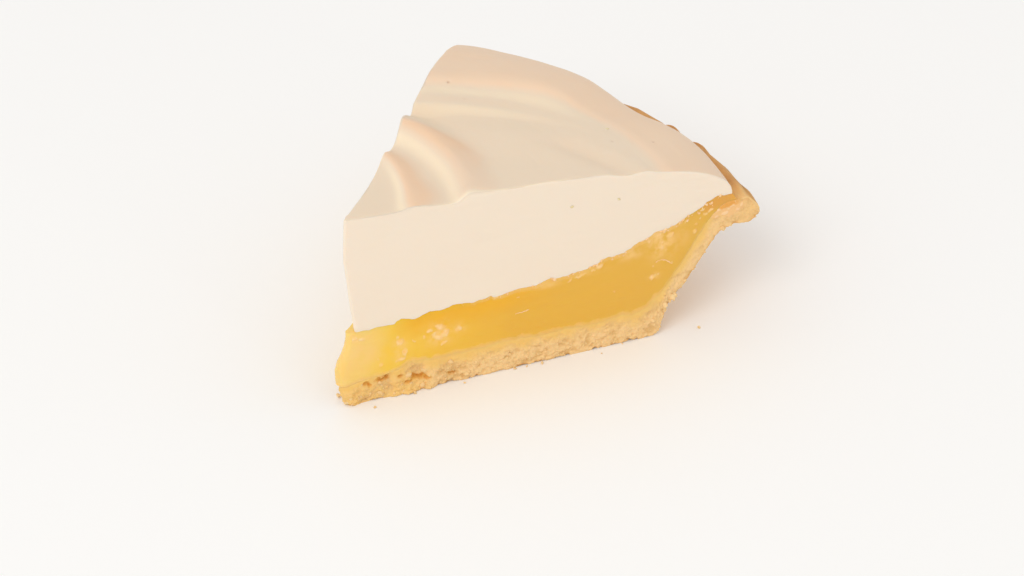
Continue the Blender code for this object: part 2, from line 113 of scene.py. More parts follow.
floor_mesh = bpy.data.meshes.new("floor")
corners = [(-FLOOR_HALF, -FLOOR_HALF, 0.0), (FLOOR_HALF, -FLOOR_HALF, 0.0),
           (FLOOR_HALF, FLOOR_HALF, 0.0), (-FLOOR_HALF, FLOOR_HALF, 0.0)]
floor_mesh.from_pydata(corners, [], [(0, 1, 2, 3)])
floor = bpy.data.objects.new("floor", floor_mesh)
bpy.context.collection.objects.link(floor)
floor_finish = bpy.data.materials.new("floor")
floor_finish.use_nodes = True
floor_shader = floor_finish.node_tree.nodes["Principled BSDF"]
floor_shader.inputs["Base Color"].default_value = (*FLOOR_COLOUR, 1.0)
floor_shader.inputs["Roughness"].default_value = FLOOR_ROUGHNESS
floor_mesh.materials.append(floor_finish)
floor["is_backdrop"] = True

room = bpy.data.worlds.new("room")
room.use_nodes = True
room.node_tree.nodes["Background"].inputs["Color"].default_value = (*ROOM_COLOUR, 1.0)
room.node_tree.nodes["Background"].inputs["Strength"].default_value = ROOM_STRENGTH
bpy.context.scene.world = room
bpy.context.scene.view_settings.view_transform = "Standard"
print("floor", 2.0 * FLOOR_HALF, "m wide in a white room")

# %% The lamps
LAMPS_AIM = Vector((0.0, 0.0, 0.03))


def add_lamp(name, azimuth, elevation, distance, size, power, colour):
    """A square lamp on a sphere round the slice, turned to its middle."""
    a, e = radians(azimuth), radians(elevation)
    away = Vector((sin(a) * cos(e), -cos(a) * cos(e), sin(e)))
    data = bpy.data.lights.new(name, "AREA")
    data.size = size
    data.energy = power
    data.color = colour
    lamp = bpy.data.objects.new(name, data)
    lamp.location = away * distance + LAMPS_AIM
    lamp.rotation_euler = away.to_track_quat("Z", "Y").to_euler()
    bpy.context.collection.objects.link(lamp)


add_lamp("key", azimuth=18.0, elevation=46.0, distance=3.0, size=1.5, power=22.0,
         colour=(1.0, 0.985, 0.96))
add_lamp("glint", azimuth=80.0, elevation=16.0, distance=3.0, size=0.22, power=1.6,
         colour=(1.0, 0.98, 0.96))
print(len(bpy.data.lights), "lamps")

# %% [markdown]
# ## Noise worked out as whole arrays
#
# Crumb, foam and gel are all uneven, each at its own scale. Blender has textures for that,
# but numbers worked out here can shape a mesh, place a crumb and tint a spot all at once.
# One small noise function takes thousands of points, and the same seed gives the same
# numbers on every run. A second one gives packed grains, which crumb is made of.

# %% Soft steps from 0 to 1
def fade(value, start, end):
    """0 before start, 1 after end, and t^2 (3 - 2t) between them."""
    t = np.clip((value - start) / (end - start), 0.0, 1.0)
    return t * t * (3.0 - 2.0 * t)


def drop(value, start, end):
    """1 before start and 0 after end: what a fade leaves."""
    return 1.0 - fade(value, start, end)


def hill(value, rise, fall):
    """0, then up to 1 across the first span, and back to 0 across the second."""
    return fade(value, *rise) * drop(value, *fall)


print("a quarter of the way up a soft step:", fade(0.25, 0.0, 1.0).round(3))


# %% A soft cloud
def dice(cells, seed):
    """One repeatable number from 0 to 1 for each whole-number cell.

    The three numbers are multiplied by large odd numbers, joined and stirred."""
    x, y, z = (cells[..., i].astype(np.int64) for i in range(3))
    mixed = (x * 73856093) ^ (y * 19349663) ^ (z * 83492791) ^ (seed * 1274126177)
    mixed = ((mixed ^ (mixed >> 15)) * 668265263) & 0x7FFFFFFF
    mixed = ((mixed ^ (mixed >> 12)) * 374761393) & 0x7FFFFFFF
    return ((mixed >> 7) & 0xFFFF) / 65535.0


def cloud(points, size, seed, octaves=1):
    """Smooth noise from -1 to 1 with bumps about one size across.

    The 8 corners of the cube round a point each roll a number, and an S-curve blends
    them. Each further octave is half the size and half as strong."""
    total, strength, sum_of_strengths = np.zeros(len(points)), 1.0, 0.0
    for octave in range(octaves):
        scaled = points / (size * 0.5 ** octave)
        cell = np.floor(scaled).astype(np.int64)
        t = scaled - cell
        t = t * t * (3.0 - 2.0 * t)
        value = np.zeros(len(points))
        for corner in range(8):
            step = np.array([corner & 1, corner >> 1 & 1, corner >> 2 & 1])
            share = np.prod(np.where(step == 1, t, 1.0 - t), axis=1)
            value += share * (2.0 * dice(cell + step, seed + 17 * octave) - 1.0)
        total += strength * value
        sum_of_strengths += strength
        strength *= 0.5
    return total / sum_of_strengths


def clouds(points, *rows):
    """The sum of a few clouds, each given as its height, size, seed and octaves."""
    return sum(height * cloud(points, size, seed, octaves) for height, size, seed, octaves in rows)


print("a cloud at one point:", cloud(np.array([[0.01, 0.02, 0.03]]), 0.004, 1).round(3))


# %% Packed grains
def grains(points, size, seed):
    """1 in the middle of a grain and 0 where grains meet.

    Every cube of the lattice holds one seed at a random place, and the value is
    1 - d1 / d2, where d1 and d2 are the distances to the nearest two seeds."""
    scaled = points / size
    cell = np.floor(scaled).astype(np.int64)
    first = np.full(len(points), 9.0)
    second = np.full(len(points), 9.0)
    for step in np.ndindex(3, 3, 3):
        near = cell + np.array(step) - 1
        spot = near + np.column_stack([dice(near, seed + k) for k in (1, 2, 3)])
        away = np.linalg.norm(scaled - spot, axis=1)
        second = np.minimum(second, np.maximum(first, away))
        first = np.minimum(first, away)
    return 1.0 - first / np.maximum(second, 1e-6)


print("grains at the same point:", grains(np.array([[0.01, 0.02, 0.03]]), 0.004, 1).round(3))

# %% [markdown]
# ## Where a point of the pie lies
#
# A pie is round, so its sizes are measured from its centre. A point is given by r, the
# distance from that centre, by s, the place across the slice from -1 on the left cut to
# 1 on the right cut, and by its height z. The soft point of the slice has slumped a
# little past the centre and to the left, and more so low down, where the gel bulges.

# %% From the pie's own measures to the frame
HALF_ANGLE = radians(27.5)
PIE_CENTRE = (-0.00012, -0.06397)
NOSE_REACH = 0.011
NOSE_CORNER = 0.55
NOSE_SPREAD = 0.42


def place(r, s, z, nose):
    """x, y, z in the frame: (r sin a, r cos a, z) with a = s times half the slice's angle.

    Near the centre the point also moves ahead and to the left by the layer's slump,
    which falls off as exp(-(r / reach)^2)."""
    side, middle = np.sin(s * pi / 2.0), np.cos(s * pi / 2.0)
    heights, slumps, pushes = nose
    slump, push = np.interp(z, heights, slumps), np.interp(z, heights, pushes)
    near = np.exp(-(r / NOSE_REACH) ** 2)
    ahead = near * (push + slump * (NOSE_CORNER + (1.0 - NOSE_CORNER) * middle))
    leftward = near * slump * NOSE_SPREAD * (1.0 - side)
    x = r * np.sin(s * HALF_ANGLE) - ahead * sin(HALF_ANGLE) - leftward * cos(HALF_ANGLE)
    y = r * np.cos(s * HALF_ANGLE) - ahead * cos(HALF_ANGLE) + leftward * sin(HALF_ANGLE)
    return np.column_stack([x + PIE_CENTRE[0], y + PIE_CENTRE[1], z])


print("right cut runs towards", np.round([sin(HALF_ANGLE), cos(HALF_ANGLE)], 3))


# %% Across the slice, and beside its cuts
def across(pair, s):
    """The value at s of something given at the right and at the left cut."""
    return pair[0] + (pair[1] - pair[0]) * (1.0 - s) / 2.0


def to_cut(r, s):
    """Distance to the nearer cut, along an arc of the pie: r times the angle left."""
    return r * HALF_ANGLE * (1.0 - np.abs(s))


def beside_cut(r, s, reach):
    """1 on a cut, and less in a straight line to 0 at a distance of reach from it."""
    return np.clip(1.0 - to_cut(r, s) / reach, 0.0, 1.0)


def laid_flat(r, s, z=0.0, apart=0.03):
    """Where noise for a cut is read: along it, then a row of its own, and up it."""
    return np.column_stack([r, np.sign(s) * apart + 0.0 * r, z + 0.0 * r])


print("from cut to cut at 0.1 m:", round(1000.0 * 2.0 * to_cut(0.1, 0.0), 1), "mm along the arc")


# %% Smooth lines through a few points
def through(points, steps=24):
    """A Catmull-Rom curve through the points, as many short straight steps."""
    p = np.array(points, dtype=float)
    p = np.vstack([2.0 * p[0] - p[1], p, 2.0 * p[-1] - p[-2]])
    t = np.linspace(0.0, 1.0, steps, endpoint=False)[:, None]
    pieces = []
    for a, b, c, d in zip(p, p[1:], p[2:], p[3:]):
        bend = (3.0 * (b - c) + d - a) * t ** 3 + (2.0 * a - 5.0 * b + 4.0 * c - d) * t ** 2
        pieces.append(0.5 * (2.0 * b + (c - a) * t + bend))
    return np.vstack(pieces + [p[-2:-1]])


def evenly(curve, share):
    """Points at the given shares of a curve's length."""
    run = np.concatenate([[0.0], np.cumsum(np.hypot(*np.diff(curve, axis=0).T))])
    where = np.clip(share, 0.0, 1.0) * run[-1]
    return np.interp(where, run, curve[:, 0]), np.interp(where, run, curve[:, 1])


def along_line(points, value):
    """The second number of a smooth line through pairs, where its first is the value."""
    curve = through(points)
    return np.interp(value, curve[:, 0], curve[:, 1])


print("a line through three points, half way:", along_line(((0, 0), (1, 1), (2, 0)), 0.5).round(3))

# %% [markdown]
# ## A layer as a stretched block
#
# Each layer is a block of dough pulled into a wedge: t runs from the point to the rim,
# s across the slice, and w from its lower side to its upper side. Only the skin of the
# block is made, as six grids of four-sided faces that share the points along their
# edges, so the skin is closed by itself. Sides that nothing shows get few columns. A
# carve step then moves the points in or out along the true normals.

# %% The skin of a block
def block_skin(nt, ns, nw, under_step=1, over_step=1):
    """Points (t, s, w) on the six sides of a block, and the faces between them.

    The lower and the upper side can use only every under_step-th and over_step-th
    column; their first and last rows keep them all, and many-sided faces join the two."""
    shape = (nt + 1, ns + 1, nw + 1)
    number = np.arange(shape[0] * shape[1] * shape[2]).reshape(shape)

    def quads(grid, turned):
        """Four-sided faces between the rows and columns of a grid of point numbers."""
        corners = np.stack([grid[:-1, :-1], grid[1:, :-1], grid[1:, 1:], grid[:-1, 1:]], -1)
        corners = corners.reshape(-1, 4)
        return corners[:, ::-1] if turned else corners

    def seam(fine, coarse, step, turned):
        """Faces from each pair of a coarse row to all points of the fine row beside it."""
        faces = []
        for j in range(len(coarse) - 1):
            face = list(fine[j * step:(j + 1) * step + 1]) + [coarse[j + 1], coarse[j]]
            faces.append(face[::-1] if turned else face)
        return faces

    faces = [quads(number[:, -1, :], False), quads(number[:, 0, :], True),
             quads(number[0], False), quads(number[-1], True)]
    wide = []
    for level, step, turned in ((0, under_step, True), (nw, over_step, False)):
        side = number[:, :, level]
        if step == 1:
            faces.append(quads(side, not turned))
        else:
            faces.append(quads(side[1:-1, ::step], not turned))
            wide += seam(side[0], side[1, ::step], step, turned)
            wide += seam(side[-1], side[-2, ::step], step, not turned)
    faces = np.vstack(faces)
    used = np.unique(np.concatenate([faces.ravel()] + [np.array(face) for face in wide]))
    small = np.full(number.size, -1)
    small[used] = np.arange(len(used))
    i, j, k = np.unravel_index(used, shape)
    wide = [[int(small[n]) for n in face] for face in wide]
    return i / nt, 2.0 * j / ns - 1.0, k / nw, small[faces], wide


print("a block of 2 by 2 by 2 cells has", len(block_skin(2, 2, 2)[3]), "faces")


# %% Closer rows at the ends, normals, and worn edges
def crowd(value, share):
    """-1 to 1 again, but with steps 1 - 2 share as long at both ends: v + share (v - v^3)."""
    return value * (1.0 + share * (1.0 - value * value))


def normals_of(points, faces):
    """Unit normals of the points: each face adds the cross product of its diagonals."""
    a, b, c, d = (points[faces[:, i]] for i in range(4))
    normal = np.cross(c - a, d - b)
    total = np.zeros_like(points)
    for i in range(4):
        for axis in range(3):
            total[:, axis] += np.bincount(faces[:, i], normal[:, axis], len(points))
    return total / np.maximum(np.linalg.norm(total, axis=1), 1e-12)[:, None]


def worn(distance, radius):
    """How far a rounded edge lies in, at a distance from it: 0.3 radius (1 - share)^2.

    On the edge itself the normal points half way, so the way in is 0.41 radius."""
    share = np.clip(distance / radius, 0.0, 1.0)
    return np.where(distance > 0.0, 0.30, 0.41) * radius * (1.0 - share) ** 2


print("an edge worn round by 1 mm lies in by", worn(np.array([0.0]), 1.0)[0], "mm")

# %% The mesh of a piece
CREASE = radians(48.0)


def add_piece(name, points, faces, finish, values=None, wide=(), crease=CREASE):
    """A mesh object at the origin, with its values kept on its points as attributes.

    Its volume comes out above zero only if its faces point outwards."""
    points = np.clip(points, CAD_LOW, CAD_HIGH)
    mesh = bpy.data.meshes.new(name)
    mesh.from_pydata(points.tolist(), [], faces.tolist() + list(wide))
    for key, value in (values or {}).items():
        layer = mesh.attributes.new(key, "FLOAT", "POINT")
        layer.data.foreach_set("value", np.ascontiguousarray(value, dtype=np.float32))
    mesh.materials.append(finish)
    mesh.shade_smooth()
    mesh.set_sharp_from_angle(angle=crease)
    piece = bpy.data.objects.new(name, mesh)
    bpy.context.collection.objects.link(piece)
    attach(piece, "root")
    measured = bmesh.new()
    measured.from_mesh(mesh)
    volume = measured.calc_volume(signed=True) * 1e6
    triangles = sum(len(face.verts) - 2 for face in measured.faces)
    measured.free()
    print(name, triangles, "triangles,", round(volume, 3), "cubic cm")
    return piece


print("edges stay sharp above", round(np.degrees(CREASE)), "degrees")

# %% [markdown]
# ## Small things in large numbers
#
# Crumbs, beads and threads are all strings or heaps of small uneven balls. A particle
# system could scatter them, but real meshes keep their true size in every program. A ball
# is the same block skin with every point moved to one distance from the middle. Each copy
# gets its own dents, three sizes, a turn and a place, all as one array, and all copies of
# a kind become one mesh.

# %% Many small lumps as one mesh
def ball(cells):
    """Points at distance 1 from the middle, from the skin of a cube, and its faces."""
    t, s, w, faces, _ = block_skin(cells, cells, cells)
    cube = np.column_stack([s, 2.0 * t - 1.0, 2.0 * w - 1.0])
    return cube / np.linalg.norm(cube, axis=1)[:, None], faces


def scattered(cells, centres, uprights, sizes, dents, seed, along=None):
    """Many lumps: ball * sizes * (1 + dents * cloud), stood on its upright, then moved.

    The upright is the lump's third axis. Its first axis lies along the given direction,
    or else it is turned about the third at random."""
    unit, faces = ball(cells)
    rng = np.random.default_rng(seed)
    count = len(centres)
    third = uprights / np.linalg.norm(uprights, axis=1)[:, None]
    sideways = rng.normal(size=(count, 3)) if along is None else np.cross(along, third)
    first = np.cross(third, sideways)
    first /= np.linalg.norm(first, axis=1)[:, None]
    turn = np.stack([first, np.cross(third, first), third], axis=2)
    own = unit[None] + rng.uniform(0.0, 90.0, (count, 1, 3))
    swelling = 1.0 + dents * cloud(own.reshape(-1, 3), 0.8, seed).reshape(count, -1, 1)
    lumps = unit[None] * sizes[:, None, :] * swelling
    points = np.einsum("kij,kpj->kpi", turn, lumps) + centres[:, None, :]
    numbered = faces[None] + (np.arange(count) * len(unit))[:, None, None]
    return points.reshape(-1, 3), numbered.reshape(-1, 4), len(unit)


print("a lump has", len(ball(3)[1]), "or", len(ball(4)[1]), "faces")

# %% [markdown]
# ## Short ways to write a material
#
# A finish is a small sum of masks: a little browner here, a little wetter there. Its nodes
# could be joined one by one, but that takes many lines and hides the sum. Wrapping a
# socket in a class lets such sums be written as sums, and one method adds any other node
# with its settings and links.

# %% Sockets that can be added and multiplied
class Wire:
    """A number that a shader works out: wires and plain numbers can be combined."""

    def __init__(self, tree, socket):
        self.tree = tree
        self.socket = socket

    def joined(self, operation, first, second):
        """A Math node on two values, each of them a wire or a number."""
        node = self.tree.nodes.new("ShaderNodeMath")
        node.operation = operation
        for value, socket in zip((first, second), node.inputs):
            if isinstance(value, Wire):
                self.tree.links.new(value.socket, socket)
            else:
                socket.default_value = value
        return Wire(self.tree, node.outputs[0])

    def __add__(self, other):
        return self.joined("ADD", self, other)

    def __radd__(self, other):
        return self.joined("ADD", other, self)

    def __sub__(self, other):
        return self.joined("SUBTRACT", self, other)

    def __rsub__(self, other):
        return self.joined("SUBTRACT", other, self)

    def __mul__(self, other):
        return self.joined("MULTIPLY", self, other)

    def __rmul__(self, other):
        return self.joined("MULTIPLY", other, self)


print("numbers of a shader can be added, subtracted and multiplied")


# %% Colours as they are mixed on a screen
def srgb(red, green, blue):
    """A screen colour, 0 to 255, as the linear one of a shader: ((c + 0.055) / 1.055)^2.4."""
    c = np.array([red, green, blue]) / 255.0
    linear = np.where(c <= 0.04045, c / 12.92, ((c + 0.055) / 1.055) ** 2.4)
    return (*(float(v) for v in linear), 1.0)


print("half grey on a screen is", round(srgb(128, 128, 128)[0], 3), "in a shader")


# %% A finish, with the kinds of nodes that it needs
class Finish:
    """A material in the making, built on its Principled shader."""

    def __init__(self, name, **constants):
        self.material = bpy.data.materials.new(name)
        self.material.use_nodes = True
        self.tree = self.material.node_tree
        self.shader = self.tree.nodes["Principled BSDF"]
        for key, value in constants.items():
            self.shader.inputs[key.replace("_", " ")].default_value = value

    def add(self, kind, settings, links, output=0):
        """A node of any kind: settings first, then values or wires by socket name or number."""
        node = self.tree.nodes.new(kind)
        for key, value in settings.items():
            if key == "stops":
                self.set_stops(node.color_ramp, value)
            else:
                setattr(node, key, value)
        for key, value in links.items():
            if isinstance(value, Wire):
                self.tree.links.new(value.socket, node.inputs[key])
            else:
                node.inputs[key].default_value = value
        return Wire(self.tree, node.outputs[output])

    def set_stops(self, ramp, stops):
        """Colour stops of a ramp, as pairs of a place and a screen colour."""
        while len(ramp.elements) < len(stops):
            ramp.elements.new(1.0)
        for element, (where, colour) in zip(ramp.elements, stops):
            element.position = where
            element.color = srgb(*colour)

    def value(self, name):
        """A number that the mesh keeps on its points."""
        return self.add("ShaderNodeAttribute", {"attribute_name": name}, {}, "Fac")

    def noise(self, scale, detail=2.0):
        """Noise from 0 to 1, whose bumps are 1 / scale metres across, fixed to the piece."""
        place_on_piece = self.add("ShaderNodeTexCoord", {}, {}, "Object")
        links = {"Vector": place_on_piece, "Scale": scale, "Detail": detail}
        return self.add("ShaderNodeTexNoise", {}, links, "Fac")

    def band(self, wire, low, high):
        """0 below low, 1 above high, and a smooth rise between them."""
        links = {"Value": wire, "From Min": low, "From Max": high}
        return self.add("ShaderNodeMapRange", {"interpolation_type": "SMOOTHSTEP"}, links)

    def ramp(self, wire, stops):
        """A colour that changes with the wire."""
        return self.add("ShaderNodeValToRGB", {"stops": stops}, {"Fac": wire}, "Color")

    def tint(self, colour, factor, towards):
        """The colour where the factor is 0, and the other one, a wire or not, where it is 1."""
        second = towards if isinstance(towards, Wire) else srgb(*towards)
        links = {0: factor, 6: colour, 7: second}
        return self.add("ShaderNodeMix", {"data_type": "RGBA"}, links, 2)

    def tints(self, colour, rows):
        """One tint over another, each as strong as the value of the same name."""
        for name, towards in rows:
            colour = self.tint(colour, self.value(name), towards)
        return colour

    def feed(self, key, wire):
        """Links a wire to one of the shader's sockets."""
        self.tree.links.new(wire.socket, self.shader.inputs[key])

    def bump(self, height, distance, strength=1.0):
        """Feeds the Normal from a height that is 0 to 1 times the distance."""
        links = {"Height": height, "Distance": distance, "Strength": strength}
        self.feed("Normal", self.add("ShaderNodeBump", {}, links, "Normal"))


print("a finish can have noise, bands, ramps, tints and bumps")

# %% [markdown]
# ## The pastry's section
#
# The crust is one band of short pastry: it lies flat, turns up the side of the tin and
# ends in a pressed rim. A lower and an upper curve bound it, and both are cut into the
# same three stretches, base, wall and rim, so that a line across the band stays square
# to it.

# %% The two curves of the crust
BASE_END = 0.0955
STRETCHES = (0.0, 0.60, 0.84, 1.0)
CRUST_LOWER = (
    ((0.0, 0.0), (BASE_END, 0.0)),
    ((BASE_END, 0.0), (0.0978, 0.0016), (0.0990, 0.0056), (0.1022, 0.0122),
     (0.1078, 0.0180), (0.1150, 0.0282), (0.1185, 0.0326)),
    ((0.1185, 0.0326), (0.1230, 0.0343), (0.1285, 0.0345), (0.1316, 0.0366)),
)
CRUST_UPPER = (
    ((0.0, 0.0066), (0.012, 0.0080), (0.019, 0.0098), (0.030, 0.0108), (0.055, 0.0101),
     (0.086, 0.0101), (0.0940, 0.0112)),
    ((0.0940, 0.0112), (0.1010, 0.0182), (0.1122, 0.0345), (0.1164, 0.0398)),
    ((0.1164, 0.0398), (0.1205, 0.0427), (0.1250, 0.0434), (0.1280, 0.0440),
     (0.1302, 0.0418)),
)


def stretched(pieces, t):
    """(r, z) at the share t of a curve made of three pieces, each with its own share."""
    r, z = np.zeros_like(t), np.zeros_like(t)
    for points, start, end in zip(pieces, STRETCHES, STRETCHES[1:]):
        here = (t >= start) & (t <= end)
        curve = through(points) if len(points) > 2 else np.array(points)
        r[here], z[here] = evenly(curve, (t[here] - start) / (end - start))
    return r, z


print("rim reaches", round(1000.0 * CRUST_LOWER[-1][-1][0], 1), "mm from the centre")

# %% The crust's section, with its rim and flutes
CRUST_NOSE = ((0.0, 0.0026, 0.0052, 0.0080), (0.0030, 0.0044, 0.0052, 0.0050),
              (0.0, 0.0, 0.0, 0.0))
RIM_SPAN = (0.118, 0.131)
RIM_PRESSED = 0.0012
RIM_PRESSED_TURN = (0.10, 0.34)
RIM_BULGE = 0.0010
RIM_BULGE_START = 0.985
FLUTES = 9
FLUTE_HEIGHT = 0.0010
FLUTE_REACH = 0.0006
FLUTE_MEAN, FLUTE_SPREAD = 0.8, 0.35
FLUTE_KEPT_WHERE_PRESSED = 0.25


def crust_section(t, s, w):
    """Lower curve times (1 - w) plus upper curve times w, with the rim's nose and flutes.

    The flutes are a cosine along the rim, and they die out beside the right cut."""
    lower_r, lower_z = stretched(CRUST_LOWER, t)
    upper_r, upper_z = stretched(CRUST_UPPER, t)
    nose = RIM_BULGE * 4.0 * w * (1.0 - w) * fade(t, RIM_BULGE_START, 1.0)
    r = lower_r + (upper_r - lower_r) * w + nose
    z = lower_z + (upper_z - lower_z) * w
    free = fade((1.0 - s) / 2.0, *RIM_PRESSED_TURN)
    spots = np.column_stack([3.0 * s, 0.0 * s, 0.0 * s])
    depth = FLUTE_MEAN + FLUTE_SPREAD * cloud(spots, 1.0, 5)
    kept = FLUTE_KEPT_WHERE_PRESSED + (1.0 - FLUTE_KEPT_WHERE_PRESSED) * free
    flute = np.cos(FLUTES * pi * s) * depth * kept
    on_lip = fade(r, *RIM_SPAN)
    r = r + FLUTE_REACH * flute * on_lip
    z = z + (FLUTE_HEIGHT * flute + RIM_PRESSED * (free - 0.5)) * on_lip
    return r, z


print(FLUTES, "flutes,", round(1000.0 * FLUTE_HEIGHT, 1), "mm high")

# %% The crust's upper side, which carries the gel
RIM_TOP_R = 0.1285
FLOOR_R, FLOOR_Z = stretched(CRUST_UPPER, np.linspace(0.0, 1.0, 1200))
FLOOR_END = int(np.argmax(FLOOR_R > RIM_TOP_R))


def crust_floor(r):
    """Height of the crust's upper side at r, read from its curve up to the rim's top."""
    return np.interp(r, FLOOR_R[:FLOOR_END], FLOOR_Z[:FLOOR_END])


print("pastry in mm: base", round(1000 * crust_floor(0.05), 1), "thick, rim top",
      round(1000 * FLOOR_Z.max(), 1))

# %% [markdown]
# ## The gel's and the meringue's sizes
#
# The gel is level in the middle of the pie and climbs the wall towards the rim, where it
# ran out a little under the meringue. Its border with the meringue goes in small steps.
# The meringue is a plateau that falls away at its shoulder. Two crests cross it where it
# was pulled up with a spoon, then comes a shallow trough, and then a raised band.

# %% Borders between the layers
FILLING_LINE = ((0.0, 0.0260), (0.020, 0.0266), (0.040, 0.0277), (0.055, 0.0284),
                (0.067, 0.0294), (0.076, 0.0309), (0.085, 0.0330), (0.095, 0.0362),
                (0.104, 0.0390), (0.111, 0.0420), (0.117, 0.0453), (0.121, 0.0462), (0.130, 0.0462))
FILLING_TOE = 0.0016
FILLING_NOSE = ((0.012, 0.015, 0.018, 0.021, 0.024), (0.0060, 0.0055, 0.0046, 0.0037, 0.0032),
                (0.0, -0.0003, -0.0007, -0.0010, -0.0010))
MERINGUE_RADIUS = (0.1226, 0.1252)
MERINGUE_DENT = 0.0024
MERINGUE_DENT_SIDE = 0.12
MERINGUE_DENT_WIDTH = 0.26
# The torn edge beside the point, on the right cut: distance along it and height, in mm
TEETH = ((4.0, 0.0), (5.4, -0.4), (7.3, 0.1), (13.0, -0.5), (13.9, 0.4), (15.2, 0.8), (17.2, 0.2),
         (19.4, -0.6), (21.9, 0.2), (24.4, 0.8), (27.4, 0.2), (30.3, 0.3), (31.8, 0.9), (34.2, 0.5),
         (38.3, -0.5), (40.0, 0.0), (42.0, -0.2), (43.8, 0.4), (44.6, -0.5), (47.0, -0.4),
         (50.0, 0.0), (53.5, 0.3), (58.3, -0.4), (60.3, 0.1), (63.0, 0.4), (64.2, -0.2), (67.0, -0.1))
# Size, height and steepness of the steps along the rest of the border
STEPS = ((0.0062, 0.00052, 2.8), (0.0027, 0.00034, 2.4), (0.0010, 0.00016, 1.4))
STEPS_START_RIGHT, STEPS_START_LEFT = (0.056, 0.070), (0.004, 0.020)
STEPS_END = (0.117, 0.121)
FRAY = (0.00010, 0.0008, 32, 1)
BORDER_REACH = 0.002


def meringue_edge(s):
    """Outer radius: a straight change from cut to cut, less a bell-shaped dent."""
    dent = MERINGUE_DENT * np.exp(-((s - MERINGUE_DENT_SIDE) / MERINGUE_DENT_WIDTH) ** 2)
    return across(MERINGUE_RADIUS, s) - dent


def filling_top(r, s):
    """The smooth line, plus teeth and steps at the cuts.

    A step is the tanh of a cloud: flat for a while, and then quickly up or down."""
    spots = laid_flat(r, s, apart=0.02)
    teeth_r, teeth_z = np.array(TEETH).T / 1000.0
    toothed = np.interp(r, teeth_r, teeth_z) * (s > 0.0)
    start = np.where(s > 0.0, fade(r, *STEPS_START_RIGHT), fade(r, *STEPS_START_LEFT))
    stepped = start * drop(r, *STEPS_END)
    for size, height, steepness in STEPS:
        toothed = toothed + height * np.tanh(steepness * cloud(spots, size, 31)) * stepped
    toothed = toothed + clouds(spots, FRAY) * fade(r, *STEPS_START_LEFT)
    return along_line(FILLING_LINE, r) + toothed * beside_cut(r, s, BORDER_REACH)


# %% The border between the crust and the gel
# Where the crust stands higher on the cuts: distance along them, and by how much
RAISED_R = (0.0, 0.0040, 0.0066, 0.0108, 0.0136, 0.0166, 0.0202, 0.0234)
RAISED_BY = (0.0006, 0.0012, 0.0011, 0.0010, 0.0013, 0.0017, 0.0008, 0.0)
RAISED_REACH = 0.004
SOAK_WAVES = ((0.00050, 0.0065, 33, 1), (0.00040, 0.0024, 33, 1), (0.00018, 0.0010, 33, 1))
SOAK_SPANS = ((0.004, 0.012), (0.112, 0.118))


def soaked_line(r, s):
    """Height of the gel's lower border: the crust's top, raised at the cuts, plus waves."""
    raised = np.interp(r, RAISED_R, RAISED_BY) * beside_cut(r, s, RAISED_REACH)
    waves = clouds(laid_flat(r, s, apart=0.04), *SOAK_WAVES) * hill(r, *SOAK_SPANS)
    return crust_floor(r) + raised + waves * beside_cut(r, s, BORDER_REACH)


print("gel in mm:", round(1000 * FILLING_LINE[0][1], 1), "at the point,",
      round(1000 * float(filling_top(np.array([0.12]), np.array([0.0]))[0]), 1), "at the rim")

# %% Sizes of the meringue's upper side
MERINGUE_HEIGHT = 0.0663
MERINGUE_SLOPE = 0.052
MERINGUE_SQUARENESS = (7.0, 8.5)
MERINGUE_SHOULDER_POWER = 0.6
MERINGUE_EDGE_HEIGHT = 0.0474
MERINGUE_NOSE = ((0.026, 0.036, 0.044, 0.052, 0.060, 0.067), 6 * (0.0015,),
                 (-0.0019, -0.0012, -0.0006, 0.0, -0.0006, -0.0011))
TILT_RISE = 0.0046
TILT_BEND = 1.5
TILT_START = 0.045
TILT_END = 0.078
BAND_RISE = 0.0065
BAND_TURN = (0.36, 0.62)
BAND_LINE = ((-1.0, 0.0800), (-0.6, 0.0868), (-0.2, 0.0918), (0.2, 0.0955), (0.6, 0.0985),
             (1.0, 0.1005))
BAND_WIDTH = 0.007
FIRST_CREST = {"radius": (0.0200, 0.0374), "bend": 1.9, "front": (0.0045, 0.0100),
               "back": (0.0150, 0.0070), "height": (0.0011, 0.0024), "dip": (0.0009, 0.0)}
SECOND_CREST = {"radius": (0.0386, 0.0560), "bend": 1.3, "front": (0.0046, 0.0110),
                "back": (0.0120, 0.0130), "height": (0.0025, 0.0040), "dip": (-0.0012, 0.0034)}
CREST_HOLLOWNESS = 1.7
CREST_ROUNDING = (-0.0014, -0.0007, 0.0, 0.0007, 0.0014)
STEP_LINE = ((-1.0, 0.0668), (-0.6, 0.0712), (-0.24, 0.0768), (0.13, 0.0855), (0.45, 0.0922),
             (1.0, 0.0970))
STEP_SHARE = 0.6
STEP_WIDTH = 0.0021
# A shallow drag of the spoon, which deepens towards the right cut
DRAG_LINE = ((-0.2, 0.0765), (0.18, 0.0774), (0.35, 0.0783), (0.52, 0.0806), (0.70, 0.0838),
             (0.88, 0.0868), (1.0, 0.0886))
DRAG_DEPTH = 0.0011
DRAG_WIDTH = 0.0042
DRAG_SIDES = (0.0, 0.55)
FULLNESS = 0.0012
FULLNESS_SIDE = 0.52
FULLNESS_WIDTH = 0.28
# Shares of the radius where the shoulder fills out, and where the swirls end
FULLNESS_START = (0.84, 0.95)
SWIRLS_END = (0.93, 1.0)

print("crests in mm from the centre, right cut and left:",
      [[round(1000.0 * r, 1) for r in crest["radius"]] for crest in (FIRST_CREST, SECOND_CREST)])


# %% The crests
def crest_radius(crest, s):
    """The crest's distance from the pie's centre, growing towards the left cut."""
    near, far = crest["radius"]
    return near + (far - near) * ((1.0 - s) / 2.0) ** crest["bend"]


